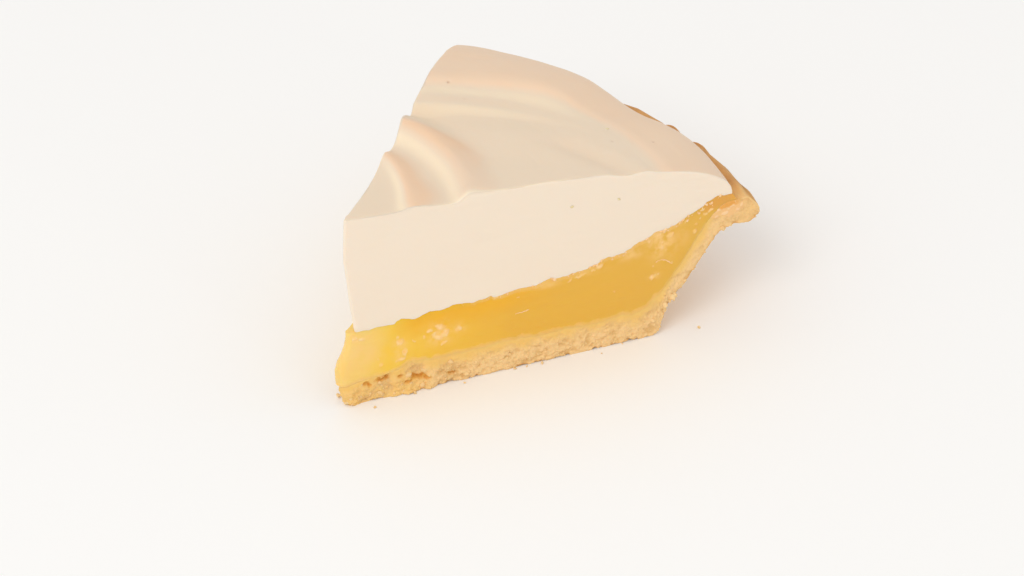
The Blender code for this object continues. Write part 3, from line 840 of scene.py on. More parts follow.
def strip(r, line, width):
    """1 on a line, falling off to both sides as exp(-(distance / width)^2)."""
    return np.exp(-((r - line) / width) ** 2)


def crest_height(crest, r, s):
    """A hollow rise to the crest, height * share^1.7, then an S-shaped fall behind it.

    The crown is round, because the height is a mean over a few steps of r."""
    top, total = crest_radius(crest, s), 0.0
    for aside in CREST_ROUNDING:
        out = r + aside - top
        before = np.clip(1.0 + out / across(crest["front"], s), 0.0, 1.0) ** CREST_HOLLOWNESS
        behind = fade(out, 0.0, across(crest["back"], s))
        height = across(crest["height"], s) * np.where(out < 0.0, before, 1.0 - behind)
        total = total + (height - across(crest["dip"], s) * behind) / len(CREST_ROUNDING)
    return total


middle = np.array([0.0])
print("second crest in the middle of the slice:",
      (1000.0 * crest_radius(SECOND_CREST, middle)).round(1), "mm from the centre")


# %% The meringue's upper side
def meringue_dome(r, s):
    """edge + (plateau - edge) * (1 - (r / radius)^n)^0.6, with a tilted plateau."""
    turn = (1.0 - s) / 2.0
    tilt = TILT_RISE * turn ** TILT_BEND * fade(r, TILT_START, TILT_END)
    raised = fade(turn, *BAND_TURN)
    start = along_line(BAND_LINE, s)
    on_band = fade(r, start - BAND_WIDTH, start + BAND_WIDTH)
    plateau = MERINGUE_HEIGHT - MERINGUE_SLOPE * r + tilt + (BAND_RISE * raised - tilt) * on_band
    power = across(MERINGUE_SQUARENESS, 1.0 - 2.0 * raised)
    share = np.clip(r / meringue_edge(s), 0.0, 1.0) ** power
    rise = (1.0 - share) ** MERINGUE_SHOULDER_POWER
    return MERINGUE_EDGE_HEIGHT + (plateau - MERINGUE_EDGE_HEIGHT) * rise


def meringue_top(r, s):
    """The dome, plus crests, less trough and drag, plus the step and a fuller shoulder."""
    step, second = along_line(STEP_LINE, s), crest_radius(SECOND_CREST, s)
    trough_end = np.minimum(second + across(SECOND_CREST["back"], s), step - STEP_WIDTH)
    slow = (1.0 - STEP_SHARE) * fade(r, trough_end, step + STEP_WIDTH)
    sharp = STEP_SHARE * fade(r, step - STEP_WIDTH, step + STEP_WIDTH)
    out = r / meringue_edge(s)
    swirls = crest_height(FIRST_CREST, r, s) + crest_height(SECOND_CREST, r, s)
    swirls = swirls + across(FIRST_CREST["dip"], s) * fade(
        r, second - across(SECOND_CREST["front"], s), second)
    swirls = swirls + across(SECOND_CREST["dip"], s) * (slow + sharp)
    drag = strip(r, along_line(DRAG_LINE, s), DRAG_WIDTH)
    swirls = swirls - DRAG_DEPTH * drag * fade(s, *DRAG_SIDES)
    full = FULLNESS * strip(s, FULLNESS_SIDE, FULLNESS_WIDTH) * fade(out, *FULLNESS_START)
    return meringue_dome(r, s) + swirls * drop(out, *SWIRLS_END) + full


deep = meringue_top(middle + 0.1, middle) - filling_top(middle + 0.1, middle)
print("meringue in mm:", (1000.0 * deep).round(1), "deep at 0.1 m")

# %% [markdown]
# ## The meringue's finish
#
# Soft meringue is a matt foam that lets a little light in. Where the oven reached it, it
# is lightly toasted: peach just behind each crest, pinkish tan on the high band at the
# back, and nearly white where a knife opened it. The mesh carries how toasted each point
# is, so the colour follows the crests from any side, and noise breaks it up. The mesh also
# carries painted light and shade: a painted highlight along the crests and the band, and
# painted shade in the trough.

# %% The meringue's material
MERINGUE_STOPS = ((0.0, (241, 225, 205)), (0.12, (240, 221, 193)), (0.36, (233, 213, 188)),
                  (0.60, (233, 207, 180)), (0.85, (238, 200, 164)), (1.0, (222, 174, 132)))
# Painted shade inside the pinholes, darker where they are more open
PINHOLE_SHADE_COLOUR = (168, 122, 92)

meringue_finish = Finish("meringue", Roughness=0.6, Subsurface_Weight=0.25,
                         Subsurface_Radius=(1.0, 0.75, 0.55), Subsurface_Scale=0.0015)
toast = meringue_finish.value("toast")
mottle = meringue_finish.noise(110.0, 3.0) - 0.5
patches = meringue_finish.noise(38.0, 2.0) - 0.5
toasted = toast + mottle * 0.09 * toast + patches * 0.20 * toast
meringue_colour = meringue_finish.ramp(toasted, MERINGUE_STOPS)
meringue_colour = meringue_finish.tints(meringue_colour, (("pinhole", PINHOLE_SHADE_COLOUR),))
# Painted highlight and painted shade: the light value lifts or lowers the colour's value
lighter = {"Value": 1.0 + meringue_finish.value("light"), "Color": meringue_colour}
meringue_colour = meringue_finish.add("ShaderNodeHueSaturation", {}, lighter, "Color")
meringue_finish.feed("Base Color", meringue_colour)
meringue_finish.feed("Roughness", 0.66 - toast * 0.14)
foam = meringue_finish.noise(2600.0, 2.0) * 0.6 + meringue_finish.noise(900.0, 2.0) * 0.4
meringue_finish.bump(foam, 0.00010, 0.4)
print("meringue finish:", len(meringue_finish.tree.nodes), "nodes")

# %% [markdown]
# ## The meringue itself
#
# The rows of its grid follow the crests, the step and the band, so each of them is one
# clean line from cut to cut. Slow swells and long faint streaks, drawn out in the way
# that the spoon went, keep its skin from looking turned on a lathe.

# %% The meringue's rows
MERINGUE_GRID = (248, 160, 60)
MERINGUE_ROWS = (0.0, 0.17, 0.33, 0.57, 0.67, 1.0)
ROWS_AT_EDGE = 1.35


def meringue_radius(t, s):
    """r at the share t: a broken line through the crests, the step, the band, the edge."""
    knots = [0.0 * s, crest_radius(FIRST_CREST, s), crest_radius(SECOND_CREST, s),
             along_line(STEP_LINE, s), along_line(BAND_LINE, s), meringue_edge(s)]
    r = np.zeros_like(t)
    for start, end, low, high in zip(MERINGUE_ROWS, MERINGUE_ROWS[1:], knots, knots[1:]):
        share = np.clip((t - start) / (end - start), 0.0, 1.0)
        if end == 1.0:
            share = 1.0 - (1.0 - share) ** ROWS_AT_EDGE
        r = r + (high - low) * share
    return r


half_rows = float(meringue_radius(middle + 0.5, middle)[0])
print("half way along the rows, r in mm:", round(1000.0 * half_rows, 1))

# %% How toasted the upper side is, and where light and shade are painted on it
STRIP_LINE = ((-1.0, 0.0765), (-0.76, 0.0798), (-0.6, 0.0820), (-0.28, 0.0873), (0.01, 0.0925),
              (0.4, 0.0960), (1.0, 0.0970))
# Where the peach behind each crest ends, and how strong it is behind the second one
FIRST_PEACH_END = ((-1.0, 0.0432), (-0.75, 0.0414), (-0.45, 0.0380), (-0.15, 0.0345),
                   (0.15, 0.0330), (0.45, 0.0316), (0.75, 0.0296), (1.0, 0.0268))
SECOND_PEACH_END = ((-1.0, 0.0585), (-0.75, 0.0582), (-0.45, 0.0588), (-0.2, 0.0583),
                    (0.0, 0.0562), (0.15, 0.0550), (0.3, 0.0522), (0.5, 0.0498),
                    (0.75, 0.0488), (1.0, 0.0465))
SECOND_PEACH = ((-1.0, 0.42), (-0.3, 0.41), (0.0, 0.33), (0.3, 0.28), (0.6, 0.22), (1.0, 0.16))
FIRST_PEACH = 0.41
MEAN_TOAST = 0.36
PALER_FRONTS = 0.24


def toasting(r, s):
    """How toasted the upper side is: peach on and behind the crests, and pale fronts that are partly
    a painted highlight.

    Each zone is a product of two S-curves of r, from one line across the slice to another."""
    first, second = crest_radius(FIRST_CREST, s), crest_radius(SECOND_CREST, s)
    step, line = along_line(STEP_LINE, s), along_line(STRIP_LINE, s)
    ends = along_line(FIRST_PEACH_END, s)
    zone = fade(r, first - 0.0022, first + 0.0008) * drop(r, ends - 0.0045, ends + 0.0045)
    toast = MEAN_TOAST + FIRST_PEACH * zone
    ends = along_line(SECOND_PEACH_END, s)
    zone = fade(r, second - 0.0050, second) * drop(r, ends - 0.0040, ends + 0.0040)
    toast = toast + along_line(SECOND_PEACH, s) * zone
    # The raised band, the flat before it, and the floor of the drag
    toast = toast + 0.30 * fade(r, line + 0.0008, line + 0.0050)
    toast = toast + 0.08 * strip(r, 0.5 * (step + line), 0.0030) * fade(-s, 0.0, 0.5)
    toast = toast + 0.08 * strip(r, along_line(DRAG_LINE, s), 0.0050) * fade(s, *DRAG_SIDES)
    # The pale fronts of the two crests, of the step and of the band: less toasted, and partly a
    # painted highlight where they face the light
    pale = strip(r, first - 0.0026, 0.0016) * fade(s, -1.0, -0.4)
    pale = pale + 0.9 * strip(r, second - across((0.0042, 0.0060), s), across((0.0020, 0.0034), s))
    pale = pale + 0.8 * strip(r, step + 0.0006, 0.0020) * fade(-s, -0.2, 0.4)
    pale = pale + 0.7 * strip(r, line - 0.0004, 0.0022) * fade(-s, -0.5, 0.2)
    return np.clip(toast - PALER_FRONTS * pale, 0.05, 1.0)


def painted_light_and_shade(r, s):
    """Painted light and shade, as how much lighter or darker than its colour: a painted highlight
    along the crests and on the band, painted shade in the trough.
    """
    first, second = crest_radius(FIRST_CREST, s), crest_radius(SECOND_CREST, s)
    step, line = along_line(STEP_LINE, s), along_line(STRIP_LINE, s)
    light = 0.09 * strip(r, first - 0.0008, 0.0026)
    light = light + 0.09 * strip(r, second - across((0.0026, 0.0046), s), across((0.0022, 0.0040), s))
    light = light + 0.07 * strip(r, line + 0.0046, 0.0024)
    return light - 0.03 * strip(r, step - 0.0055, 0.0060) * drop(s, -0.1, 0.5)


print("toasted at half a radius:", toasting(np.array([0.06]), middle).round(2))

# %% The pinholes in the meringue: r, s and how open each one is
PINHOLES = ((0.0831, -0.82, 1.0), (0.0774, -0.61, 0.35), (0.0935, 0.55, 0.5), (0.1063, 0.62, 0.6))
PINHOLE_HEIGHT = 0.065
PINHOLE_RADIUS = 0.00040
PINHOLE_DEPTH = 0.00045


def pinholes(points, on_top):
    """How open in the middle of a pinhole, falling off as exp(-(distance / radius)^2)."""
    depth = np.zeros(len(points))
    for r, s, how_open in PINHOLES:
        centre, = place(np.array([r]), np.array([s]), np.array([PINHOLE_HEIGHT]), MERINGUE_NOSE)
        away = np.hypot(points[:, 0] - centre[0], points[:, 1] - centre[1])
        depth = np.maximum(depth, how_open * np.exp(-(away / PINHOLE_RADIUS) ** 2) * on_top)
    return depth


# %% The meringue, as a fine skin
CUT_INWARD = (-cos(HALF_ANGLE), sin(HALF_ANGLE))
EDGE_WEAR = 0.0010
UNDER_GEL = 0.0005
# Height, size, seed and octaves of what makes its skin uneven
MERINGUE_SWELLS = ((0.00042, 0.016, 41, 1), (0.00014, 0.006, 42, 1))
STREAKS = (0.00016, 0.0036, 43, 2)
KNIFE_MARKS = (0.00010, 0.0016, 44, 2)
CUT_SWELL = (0.00025, 0.012, 45, 1)
SMEAR_AT = 0.0405
SMEAR_WIDTH = 0.0065
SMEAR_WEAR = 0.0014

t, s, w, faces, wide = block_skin(*MERINGUE_GRID, under_step=8)
s, w = crowd(s, 0.25), 0.5 + 0.5 * crowd(2.0 * w - 1.0, 0.30)
r = meringue_radius(t, s)
low, high = filling_top(r, s) - UNDER_GEL * (np.abs(s) == 1.0), meringue_top(r, s)
points = place(r, s, low + (high - low) * w, MERINGUE_NOSE)
normals = normals_of(points, faces)
on_top, on_side = w == 1.0, (np.abs(s) == 1.0) | (t == 0.0)
half_way = np.column_stack([-CUT_INWARD[0] * s, 0.0 * s - CUT_INWARD[1], 0.0 * s + 1.0])
on_edge = on_top & on_side
normals[on_edge] = (half_way / np.linalg.norm(half_way, axis=1)[:, None])[on_edge]
print("meringue's skin:", len(points), "points,", int(on_edge.sum()), "of them along its sharp edge")

# %% The meringue's swells, streaks, knife marks and worn edge
streak = np.column_stack([r, 0.22 * r * s * HALF_ANGLE, 0.0 * r])
swell = clouds(points, *MERINGUE_SWELLS) + clouds(streak, STREAKS) * fade(r, 0.02, 0.05)
knife_marks = clouds(points * (0.25, 0.25, 1.0), KNIFE_MARKS) + clouds(points, CUT_SWELL)
pits = pinholes(points, on_top)
height = (swell * fade(r, 0.0, 0.004) - PINHOLE_DEPTH * pits) * on_top
away_from_edges = hill(w, (0.0, 0.05), (0.98, 1.0))
height = np.where(on_side & ~on_top, knife_marks * away_from_edges, height)
from_edge = np.where(on_top, to_cut(r, s), np.where(on_side, (high - low) * (1.0 - w), 1.0))
smear = SMEAR_WEAR * strip(r, SMEAR_AT, SMEAR_WIDTH) * (s > 0.0)
wear = EDGE_WEAR * (1.0 + 0.45 * cloud(points, 0.007, 46)) + smear
points = points + normals * (height - worn(from_edge, wear))[:, None]
print("swells and streaks reach", round(1000.0 * float(np.abs(swell).max()), 2), "mm")

# %% The meringue becomes an object
TOAST_AT_RIM = 0.75

dragged = 0.0007 * (1.0 + 0.8 * cloud(points, 0.004, 47)) + 0.6 * smear
toast_of = np.where(on_top, toasting(r, s) * fade(to_cut(r, s), 0.0, dragged), 0.0)
toast_of = np.where((t == 1.0) & (w < 1.0), TOAST_AT_RIM, toast_of)
# The pinhole value darkens the colour there as painted shade
meringue_values = {"toast": toast_of, "pinhole": 0.5 * pits,
                   "light": painted_light_and_shade(r, s) * (on_top & (to_cut(r, s) > 0.0))}
# The light value is painted light and shade, on the upper side only
meringue_piece = add_piece("meringue_cap", points, faces, meringue_finish.material,
                           meringue_values, wide)
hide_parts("meringue")

# %% [markdown]
# ## The gel's finish
#
# Set lemon gel is starch jelly: it is smooth and wet, and it lets light in. Just under the
# meringue, not far from the point, it is deeper in colour. At the point it is painted paler,
# as painted light that comes in from two sides, and it is nearly orange where it ran out over the hot
# rim.

# %% The gel's material
# The first, paler stop, at the point, is painted light that comes through the thin gel
GEL_STOPS = ((0.0, (245, 206, 120)), (0.10, (244, 200, 68)), (0.22, (240, 190, 56)),
             (0.42, (231, 178, 56)), (1.0, (227, 176, 66)))
# Tints over that, each named after the value that it follows; edge is a painted highlight along the
# gel's lower border near the point
GEL_TINTS = (("deep", (239, 176, 6)), ("caramel", (225, 160, 66)), ("pale", (249, 195, 114)),
             ("edge", (255, 204, 126)))
HAZE_AND_SHEEN_COLOUR = (252, 208, 138)
SHINE_STOPS = ((0.38, (249, 199, 122)), (0.62, (255, 216, 162)))

gel_finish = Finish("lemon_gel", Roughness=0.2, IOR=1.38, Subsurface_Weight=0.4,
                    Subsurface_Radius=(1.0, 0.70, 0.25), Subsurface_Scale=0.0024,
                    Coat_Weight=0.35, Coat_Roughness=0.1)
along = gel_finish.value("along") + (gel_finish.noise(70.0, 2.0) - 0.5) * 0.12
gel_colour = gel_finish.tints(gel_finish.ramp(along, GEL_STOPS), GEL_TINTS)
# A painted sheen over clouded gel, in patches
haze = gel_finish.value("haze") * gel_finish.band(gel_finish.noise(330.0, 3.0), 0.30, 0.62)
gel_colour = gel_finish.tint(gel_colour, haze, HAZE_AND_SHEEN_COLOUR)
# The paler colour of the torn lumps is partly a painted highlight, partly clouded gel
shine = gel_finish.ramp(gel_finish.noise(520.0, 2.0), SHINE_STOPS)
gel_colour = gel_finish.tint(gel_colour, gel_finish.value("torn"), shine)
gel_finish.feed("Base Color", gel_colour)
wiped = gel_finish.noise(420.0, 3.0)
gel_finish.feed("Roughness", 0.14 + wiped * 0.18 + gel_finish.value("pale") * 0.25)
gel_finish.bump(gel_finish.noise(800.0, 2.0) * 0.4 + wiped * 0.6, 0.00018, 0.35)
print("gel finish:", len(gel_finish.tree.nodes), "nodes")

# %% [markdown]
# ## The gel itself
#
# A knife leaves gel nearly flat, with slow swells and faint drawn-out waves. It stands
# proud of its neighbours by a hair, and crust and meringue run on a little behind its
# edges, so that no dark gap shows between the layers. Here and there the knife tore it.
# Separate balls for the torn lumps would look like seeds, so the lumps are low relief of
# the gel's own skin, with a paler colour that is partly a painted highlight.

# %% The gel, as a fine skin
GEL_GRID = (540, 96, 62)
GEL_PROUD = 0.00005
GEL_OVERLAP = 0.00008
# Where all relief ends, before the gel runs out under the meringue
RELIEF_END = (0.1165, 0.1205)
GEL_SWELL = (0.00030, 0.010, 53, 1)
GEL_WAVES = (0.00013, 0.0024, 54, 2)
ROUGH_GEL = 0.00022

t, s, w, faces, wide = block_skin(*GEL_GRID, under_step=8, over_step=8)
lower_r = t * (meringue_edge(s) + FILLING_TOE)
upper_r = t * meringue_edge(s)
r = lower_r + (upper_r - lower_r) * w
lower_z = soaked_line(lower_r, s) - GEL_OVERLAP
upper_z = filling_top(upper_r, s)
z = lower_z + (upper_z - lower_z) * w
points = place(r, s, z, FILLING_NOSE)
normals = normals_of(points, faces)
outside = ((np.abs(s) == 1.0) | (t == 0.0)) * drop(r, *RELIEF_END)
waves = clouds(points, GEL_SWELL) + clouds(laid_flat(0.35 * r, s, z), GEL_WAVES)
rough_gel = np.clip(cloud(points, 0.0030, 55), 0.0, 1.0) * fade(cloud(points, 0.012, 56), 0.0, 0.6)
inside = hill(w, (0.0, 0.1), (0.9, 1.0))
print("gel's skin:", len(points), "points, waves up to", round(1000.0 * float(waves.max()), 2), "mm")

# %% Where the knife tore the gel
# Lumps in mm and degrees: distance along the cut, height, half length, half width, lean
LUMPS = ((0.4, 24.0, 1.2, 0.6, 5), (2.8, 23.4, 1.0, 0.5, -10), (14.4, 19.2, 1.2, 1.1, 0),
         (13.8, 21.0, 0.5, 0.4, 0), (15.6, 15.0, 0.8, 1.2, 0), (14.6, 12.9, 1.3, 0.6, 15),
         (18.8, 18.3, 0.8, 0.4, -45), (21.8, 18.7, 0.5, 0.6, 0), (23.8, 20.6, 1.0, 0.6, 0),
         (27.3, 21.2, 1.8, 0.9, -20), (28.6, 18.8, 1.0, 1.3, -35), (26.2, 17.8, 1.7, 0.9, -10),
         (25.0, 19.2, 0.7, 0.4, 30), (28.0, 15.2, 1.0, 0.5, 20), (32.8, 19.2, 1.0, 0.8, 20),
         (9.4, 12.6, 0.5, 0.5, 0), (8.6, 14.6, 0.4, 0.3, 0), (45.4, 27.3, 0.9, 0.3, 10),
         (52.4, 25.6, 0.7, 0.25, 0), (69.1, 27.7, 0.8, 0.4, 30), (72.6, 28.3, 1.9, 0.4, 8),
         (76.9, 29.2, 0.7, 0.45, 0), (79.1, 30.1, 1.2, 0.5, 25), (83.4, 19.7, 0.45, 0.35, 0),
         (96.1, 21.9, 0.9, 0.65, 0), (97.9, 22.4, 0.5, 0.35, 40), (95.6, 35.2, 0.8, 0.5, 20),
         (98.4, 36.6, 0.9, 0.5, 20), (99.1, 32.1, 0.7, 0.7, 30), (99.9, 33.6, 0.5, 0.35, 0),
         (102.2, 35.8, 1.3, 0.7, 20), (110.2, 35.3, 0.6, 0.8, 0), (110.7, 37.6, 0.5, 0.5, 0),
         (113.6, 40.4, 0.7, 0.5, 0), (111.9, 39.5, 0.5, 0.4, 0), (115.3, 41.4, 0.9, 0.6, 20),
         (107.5, 39.4, 0.8, 0.4, 20), (112.9, 42.3, 0.7, 0.4, 25), (102.3, 25.4, 0.6, 0.35, -30),
         (96.5, 25.6, 0.35, 0.3, 0))
LEFT_LUMPS = 12
LUMP_HEIGHT = 0.00030
LUMP_SLOPE = (0.35, 1.3)
FULL_LUMP = 0.8
TORN_EDGE = 0.0006


def torn_at(rows, r, z):
    """Up to 1 inside the ellipses, less in small ones, 0 outside, with soft edges between."""
    torn = np.zeros(len(r))
    for middle_r, middle_z, half_length, half_width, lean in rows:
        to_right, upwards = 1000.0 * r - middle_r, 1000.0 * z - middle_z
        run, rise = cos(radians(lean)), sin(radians(lean))
        away = ((to_right * run + upwards * rise) / half_length) ** 2
        away = away + ((upwards * run - to_right * rise) / half_width) ** 2
        full = min(1.0, sqrt(half_length * half_width) / FULL_LUMP)
        torn = np.maximum(torn, full * drop(away, *LUMP_SLOPE))
    return torn


rng = np.random.default_rng(21)
left_r = rng.uniform(12.0, 108.0, LEFT_LUMPS)
left_z = 1000.0 * along_line(FILLING_LINE, left_r / 1000.0) - rng.uniform(2.0, 12.0, LEFT_LUMPS)
left_sizes = rng.uniform((0.3, 0.2), (1.1, 0.5), (LEFT_LUMPS, 2))
left_rows = np.column_stack([left_r, left_z, left_sizes, rng.uniform(-40.0, 40.0, LEFT_LUMPS)])
edge_r = r + TORN_EDGE * cloud(points, 0.0011, 58, 2)
edge_z = z + TORN_EDGE * cloud(points, 0.0011, 59, 2)
torn = torn_at(LUMPS, edge_r, edge_z) * (s == 1.0) + torn_at(left_rows, edge_r, edge_z) * (s == -1.0)
torn = torn * (0.75 + 0.35 * cloud(points, 0.0014, 60))
height = GEL_PROUD + (waves + ROUGH_GEL * rough_gel + LUMP_HEIGHT * torn) * inside
gel_points, gel_normals = points + normals * (height * outside)[:, None], normals
gel_r, gel_s, gel_z = r, s, z
print(len(LUMPS), "torn lumps on the right cut and", LEFT_LUMPS, "on the left one")

# %% The gel becomes an object
GEL_LENGTH = 0.124
# Patches where torn gel clouds it, with a painted sheen, on the right cut: distance along it, height,
# two half sizes, strength
HAZE_AND_SHEEN_PATCHES = ((0.0022, 0.0236, 0.0026, 0.0010, 0.8), (0.0050, 0.0170, 0.0050, 0.0030, 0.4),
         (0.0145, 0.0185, 0.0024, 0.0018, 0.5), (0.0150, 0.0150, 0.0022, 0.0034, 0.5),
         (0.0268, 0.0188, 0.0044, 0.0036, 0.7), (0.0330, 0.0190, 0.0022, 0.0018, 0.5),
         (0.0995, 0.0335, 0.0040, 0.0050, 0.9), (0.1060, 0.0350, 0.0030, 0.0040, 0.3),
         (0.0965, 0.0220, 0.0018, 0.0012, 0.5), (0.0745, 0.0286, 0.0070, 0.0010, 0.2),
         (0.0890, 0.0318, 0.0045, 0.0018, 0.6), (0.0990, 0.0362, 0.0040, 0.0020, 0.7),
         (0.0620, 0.0276, 0.0040, 0.0010, 0.5))


def ellipse(r, z, spot):
    """Distance from the middle of an ellipse, squared, which is 1 on its outline."""
    middle_r, middle_z, half_length, half_height = spot
    return ((r - middle_r) / half_length) ** 2 + ((z - middle_z) / half_height) ** 2


def hazes_and_sheen(r, s, z):
    """The largest of the patches at a point, each of them strength * exp(-distance^2)."""
    haze = np.zeros(len(r))
    for *spot, strength in HAZE_AND_SHEEN_PATCHES:
        haze = np.maximum(haze, strength * np.exp(-ellipse(r, z, spot)))
    return haze * (s == 1.0)


depth_below = (upper_z - z) / np.maximum(upper_z - lower_z, 1e-4)
over_crust = (z - lower_z) + 0.0007 * cloud(points, 0.0022, 57, 2)
# Paler along the base, along the wall, and under the meringue
pale = 0.80 * drop(over_crust, 0.0, 0.0018) * drop(r, 0.096, 0.104)
pale = pale + 0.60 * drop(z - lower_z, 0.0, 0.0012) * hill(r, (0.098, 0.104), (0.112, 0.115))
pale = pale + 0.65 * drop(upper_z - z, 0.0, 0.0018) * hill(r, (0.032, 0.046), (0.102, 0.110))
gel_values = {
    "along": r / GEL_LENGTH,
    "deep": 0.82 * drop(depth_below, 0.05, 0.6) * hill(r, (0.010, 0.020), (0.042, 0.070)),
    "caramel": 0.85 * fade(r, 0.1100, 0.1150) * fade(z, 0.0400, 0.0430),
    "pale": pale,
    # A painted highlight along the lower border, near the point
    "edge": 0.3 * drop(z - lower_z, 0.0002, 0.0007) * drop(r, 0.030, 0.060),
    "haze": hazes_and_sheen(r, s, z), "torn": 0.9 * np.sqrt(np.clip(torn, 0.0, 1.0))}
gel_piece = add_piece("lemon_gel", gel_points, faces, gel_finish.material,
                      gel_values, wide)
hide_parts("lemon_filling")

# %% [markdown]
# ## Threads and beads of gel
#
# The knife drew out two threads of gel that lie on the cut, and along the border with
# the meringue sit small beads, where the foam wept. A thread is a close string of flat
# uneven drops, a bead is one such drop, and each drop sits on the nearest point of the gel.

# %% Where the threads lie on the right cut
# Points in mm that each runs through: distance along the cut and height
THREADS = (((97.5, 27.0), (99.0, 27.3), (100.7, 26.8), (102.4, 25.3)),
           ((51.5, 19.7), (53.5, 19.8), (55.5, 20.1)))
THREAD_SPACING = 0.00026
THREAD_SIZE = (0.00036, 0.00013, 0.00008)


def seated(wanted_r, wanted_z, side):
    """The gel's points on one cut that lie nearest to the wanted places."""
    on_cut = np.flatnonzero(gel_s == side)
    away = np.hypot(wanted_r[:, None] - gel_r[on_cut], wanted_z[:, None] - gel_z[on_cut])
    return on_cut[np.argmin(away, axis=1)]


def on_right_cut(along_r, up_z):
    """A direction in the plane of the right cut, from its run along the cut and its rise."""
    flat = np.column_stack([sin(HALF_ANGLE) * along_r, cos(HALF_ANGLE) * along_r])
    return np.column_stack([flat, up_z])


print("threads have", [len(thread) for thread in THREADS], "points")

# %% The threads
# Paler than the gel: the colour of the beads and threads is partly a painted highlight
GLINT_STOPS = ((0.35, (247, 196, 122)), (0.65, (254, 214, 166)))

glint_finish = Finish("gel_glint", Roughness=0.28, IOR=1.4, Coat_Weight=0.5,
                      Coat_Roughness=0.15)
glint_finish.feed("Base Color", glint_finish.ramp(glint_finish.noise(500.0, 1.0), GLINT_STOPS))

seats, directions = [], []
for thread in THREADS:
    curve = through(thread) / 1000.0
    share = np.linspace(0.0, 1.0, int(np.hypot(*np.diff(curve, axis=0).T).sum() / THREAD_SPACING))
    thread_r, thread_z = evenly(curve, share)
    seats.append(seated(thread_r, thread_z, 1.0))
    directions.append(on_right_cut(np.gradient(thread_r), np.gradient(thread_z)))
seats, directions = np.concatenate(seats), np.vstack(directions)
thread_sizes = np.tile(THREAD_SIZE, (len(seats), 1))
points, faces, _ = scattered(3, gel_points[seats], gel_normals[seats], thread_sizes, 0.40, 22,
                             directions)
add_piece("torn_gel", points, faces, glint_finish.material, crease=pi)

# %% The beads along the border with the meringue
# Which cut, where along it they start and end, and how many
BEADS = ((1.0, 0.040, 0.119, 84), (-1.0, 0.020, 0.119, 60))
BEAD_SIZES = (0.00012, 0.00036, 2.5)
BEAD_SHAPE = (1.4, 1.0, 0.55)
# How far below the border some of them have run, and from where on
BEADS_RUN_DOWN = 0.0022
BEADS_RUN_FROM = (0.098, 0.110)


def uneven(rng, count, least, more, power):
    """Random numbers least + more * u^power: a power above 1 makes most of them small."""
    return least + more * rng.uniform(0.0, 1.0, count) ** power


seats, sizes = [], []
for side, start, end, count in BEADS:
    along_r = uneven(rng, count, start, end - start, 0.7)
    up_z = filling_top(along_r, side + 0.0 * along_r) - rng.uniform(-0.0001, 0.0006, count)
    up_z = up_z - uneven(rng, count, 0.0, BEADS_RUN_DOWN, 3.0) * fade(along_r, *BEADS_RUN_FROM)
    seats.append(seated(along_r, up_z, side))
    sizes.append(uneven(rng, count, *BEAD_SIZES))
seats, sizes = np.concatenate(seats), np.concatenate(sizes)
bead_sizes = sizes[:, None] * np.array(BEAD_SHAPE)
points, faces, _ = scattered(3, gel_points[seats], gel_normals[seats], bead_sizes, 0.6, 23)
add_piece("border_beads", points, faces, glint_finish.material, crease=pi)

# %% [markdown]
# ## The pastry's finish
#
# Baked shortcrust is pale gold inside and brown where the tin or the oven's air touched
# it. Its crumb is painted darker in the pits between light grains, as painted shade, and
# the top few millimetres of the base have drunk juice from the gel, which makes them
# smoother and more yellow. Gel that boiled over has left an orange glaze on the rim's cut
# end, with a few thicker spots that carry a painted highlight.

# %% The pastry's material
PASTRY_STOPS = ((0.0, (245, 209, 152)), (0.3, (238, 195, 131)), (0.55, (227, 176, 108)),
                (0.8, (203, 150, 90)), (1.0, (160, 104, 56)))
SOAKED_COLOUR, SOAKED_STRENGTH = (239, 191, 86), 0.7
# The first two tints are painted shade, in the crumb's pits and in the hollows; the last is a painted
# highlight on the glaze
PASTRY_TINTS = (("pit", (224, 182, 118)), ("amber", (228, 168, 68)), ("glazed", (242, 190, 126)),
                ("orange", (231, 160, 56)), ("glint", (254, 214, 166)))
# How much less rough the wet parts are
SMOOTHER = (("soaked", 0.25), ("glazed", 0.45), ("orange", 0.25))

pastry_finish = Finish("pastry", Roughness=0.75, Subsurface_Weight=0.12,
                       Subsurface_Radius=(1.0, 0.6, 0.3), Subsurface_Scale=0.001)
baked = pastry_finish.value("baked")
fleck = pastry_finish.noise(1100.0, 3.0)
brown = baked + (pastry_finish.noise(160.0, 4.0) - 0.5) * 0.5 * baked + (fleck - 0.5) * 0.16
pastry_colour = pastry_finish.ramp(brown, PASTRY_STOPS)
soaked = pastry_finish.value("soaked") * SOAKED_STRENGTH
pastry_colour = pastry_finish.tint(pastry_colour, soaked, SOAKED_COLOUR)
pastry_finish.feed("Base Color", pastry_finish.tints(pastry_colour, PASTRY_TINTS))
roughness = 0.82
for name, less in SMOOTHER:
    roughness = roughness - pastry_finish.value(name) * less
pastry_finish.feed("Roughness", roughness)
pastry_finish.bump(fleck * 0.5 + pastry_finish.noise(2400.0, 3.0) * 0.5, 0.00022, 0.5)
print("pastry finish:", len(pastry_finish.tree.nodes), "nodes")

# %% [markdown]
# ## The pastry itself
#
# Where it is cut, the pastry is broken rather than sliced: packed grains up to a
# millimetre across, pits between them, a few long hollows near the point, and a lower
# edge that has crumbled here and there. Grains that are only painted on would look flat
# from the side, so the skin itself goes in and out. Outside, the wall is nearly smooth,
# with the fine wrinkles of dough pressed into a tin.

# %% The pastry, as a fine skin
CRUST_GRID = (620, 96, 44)
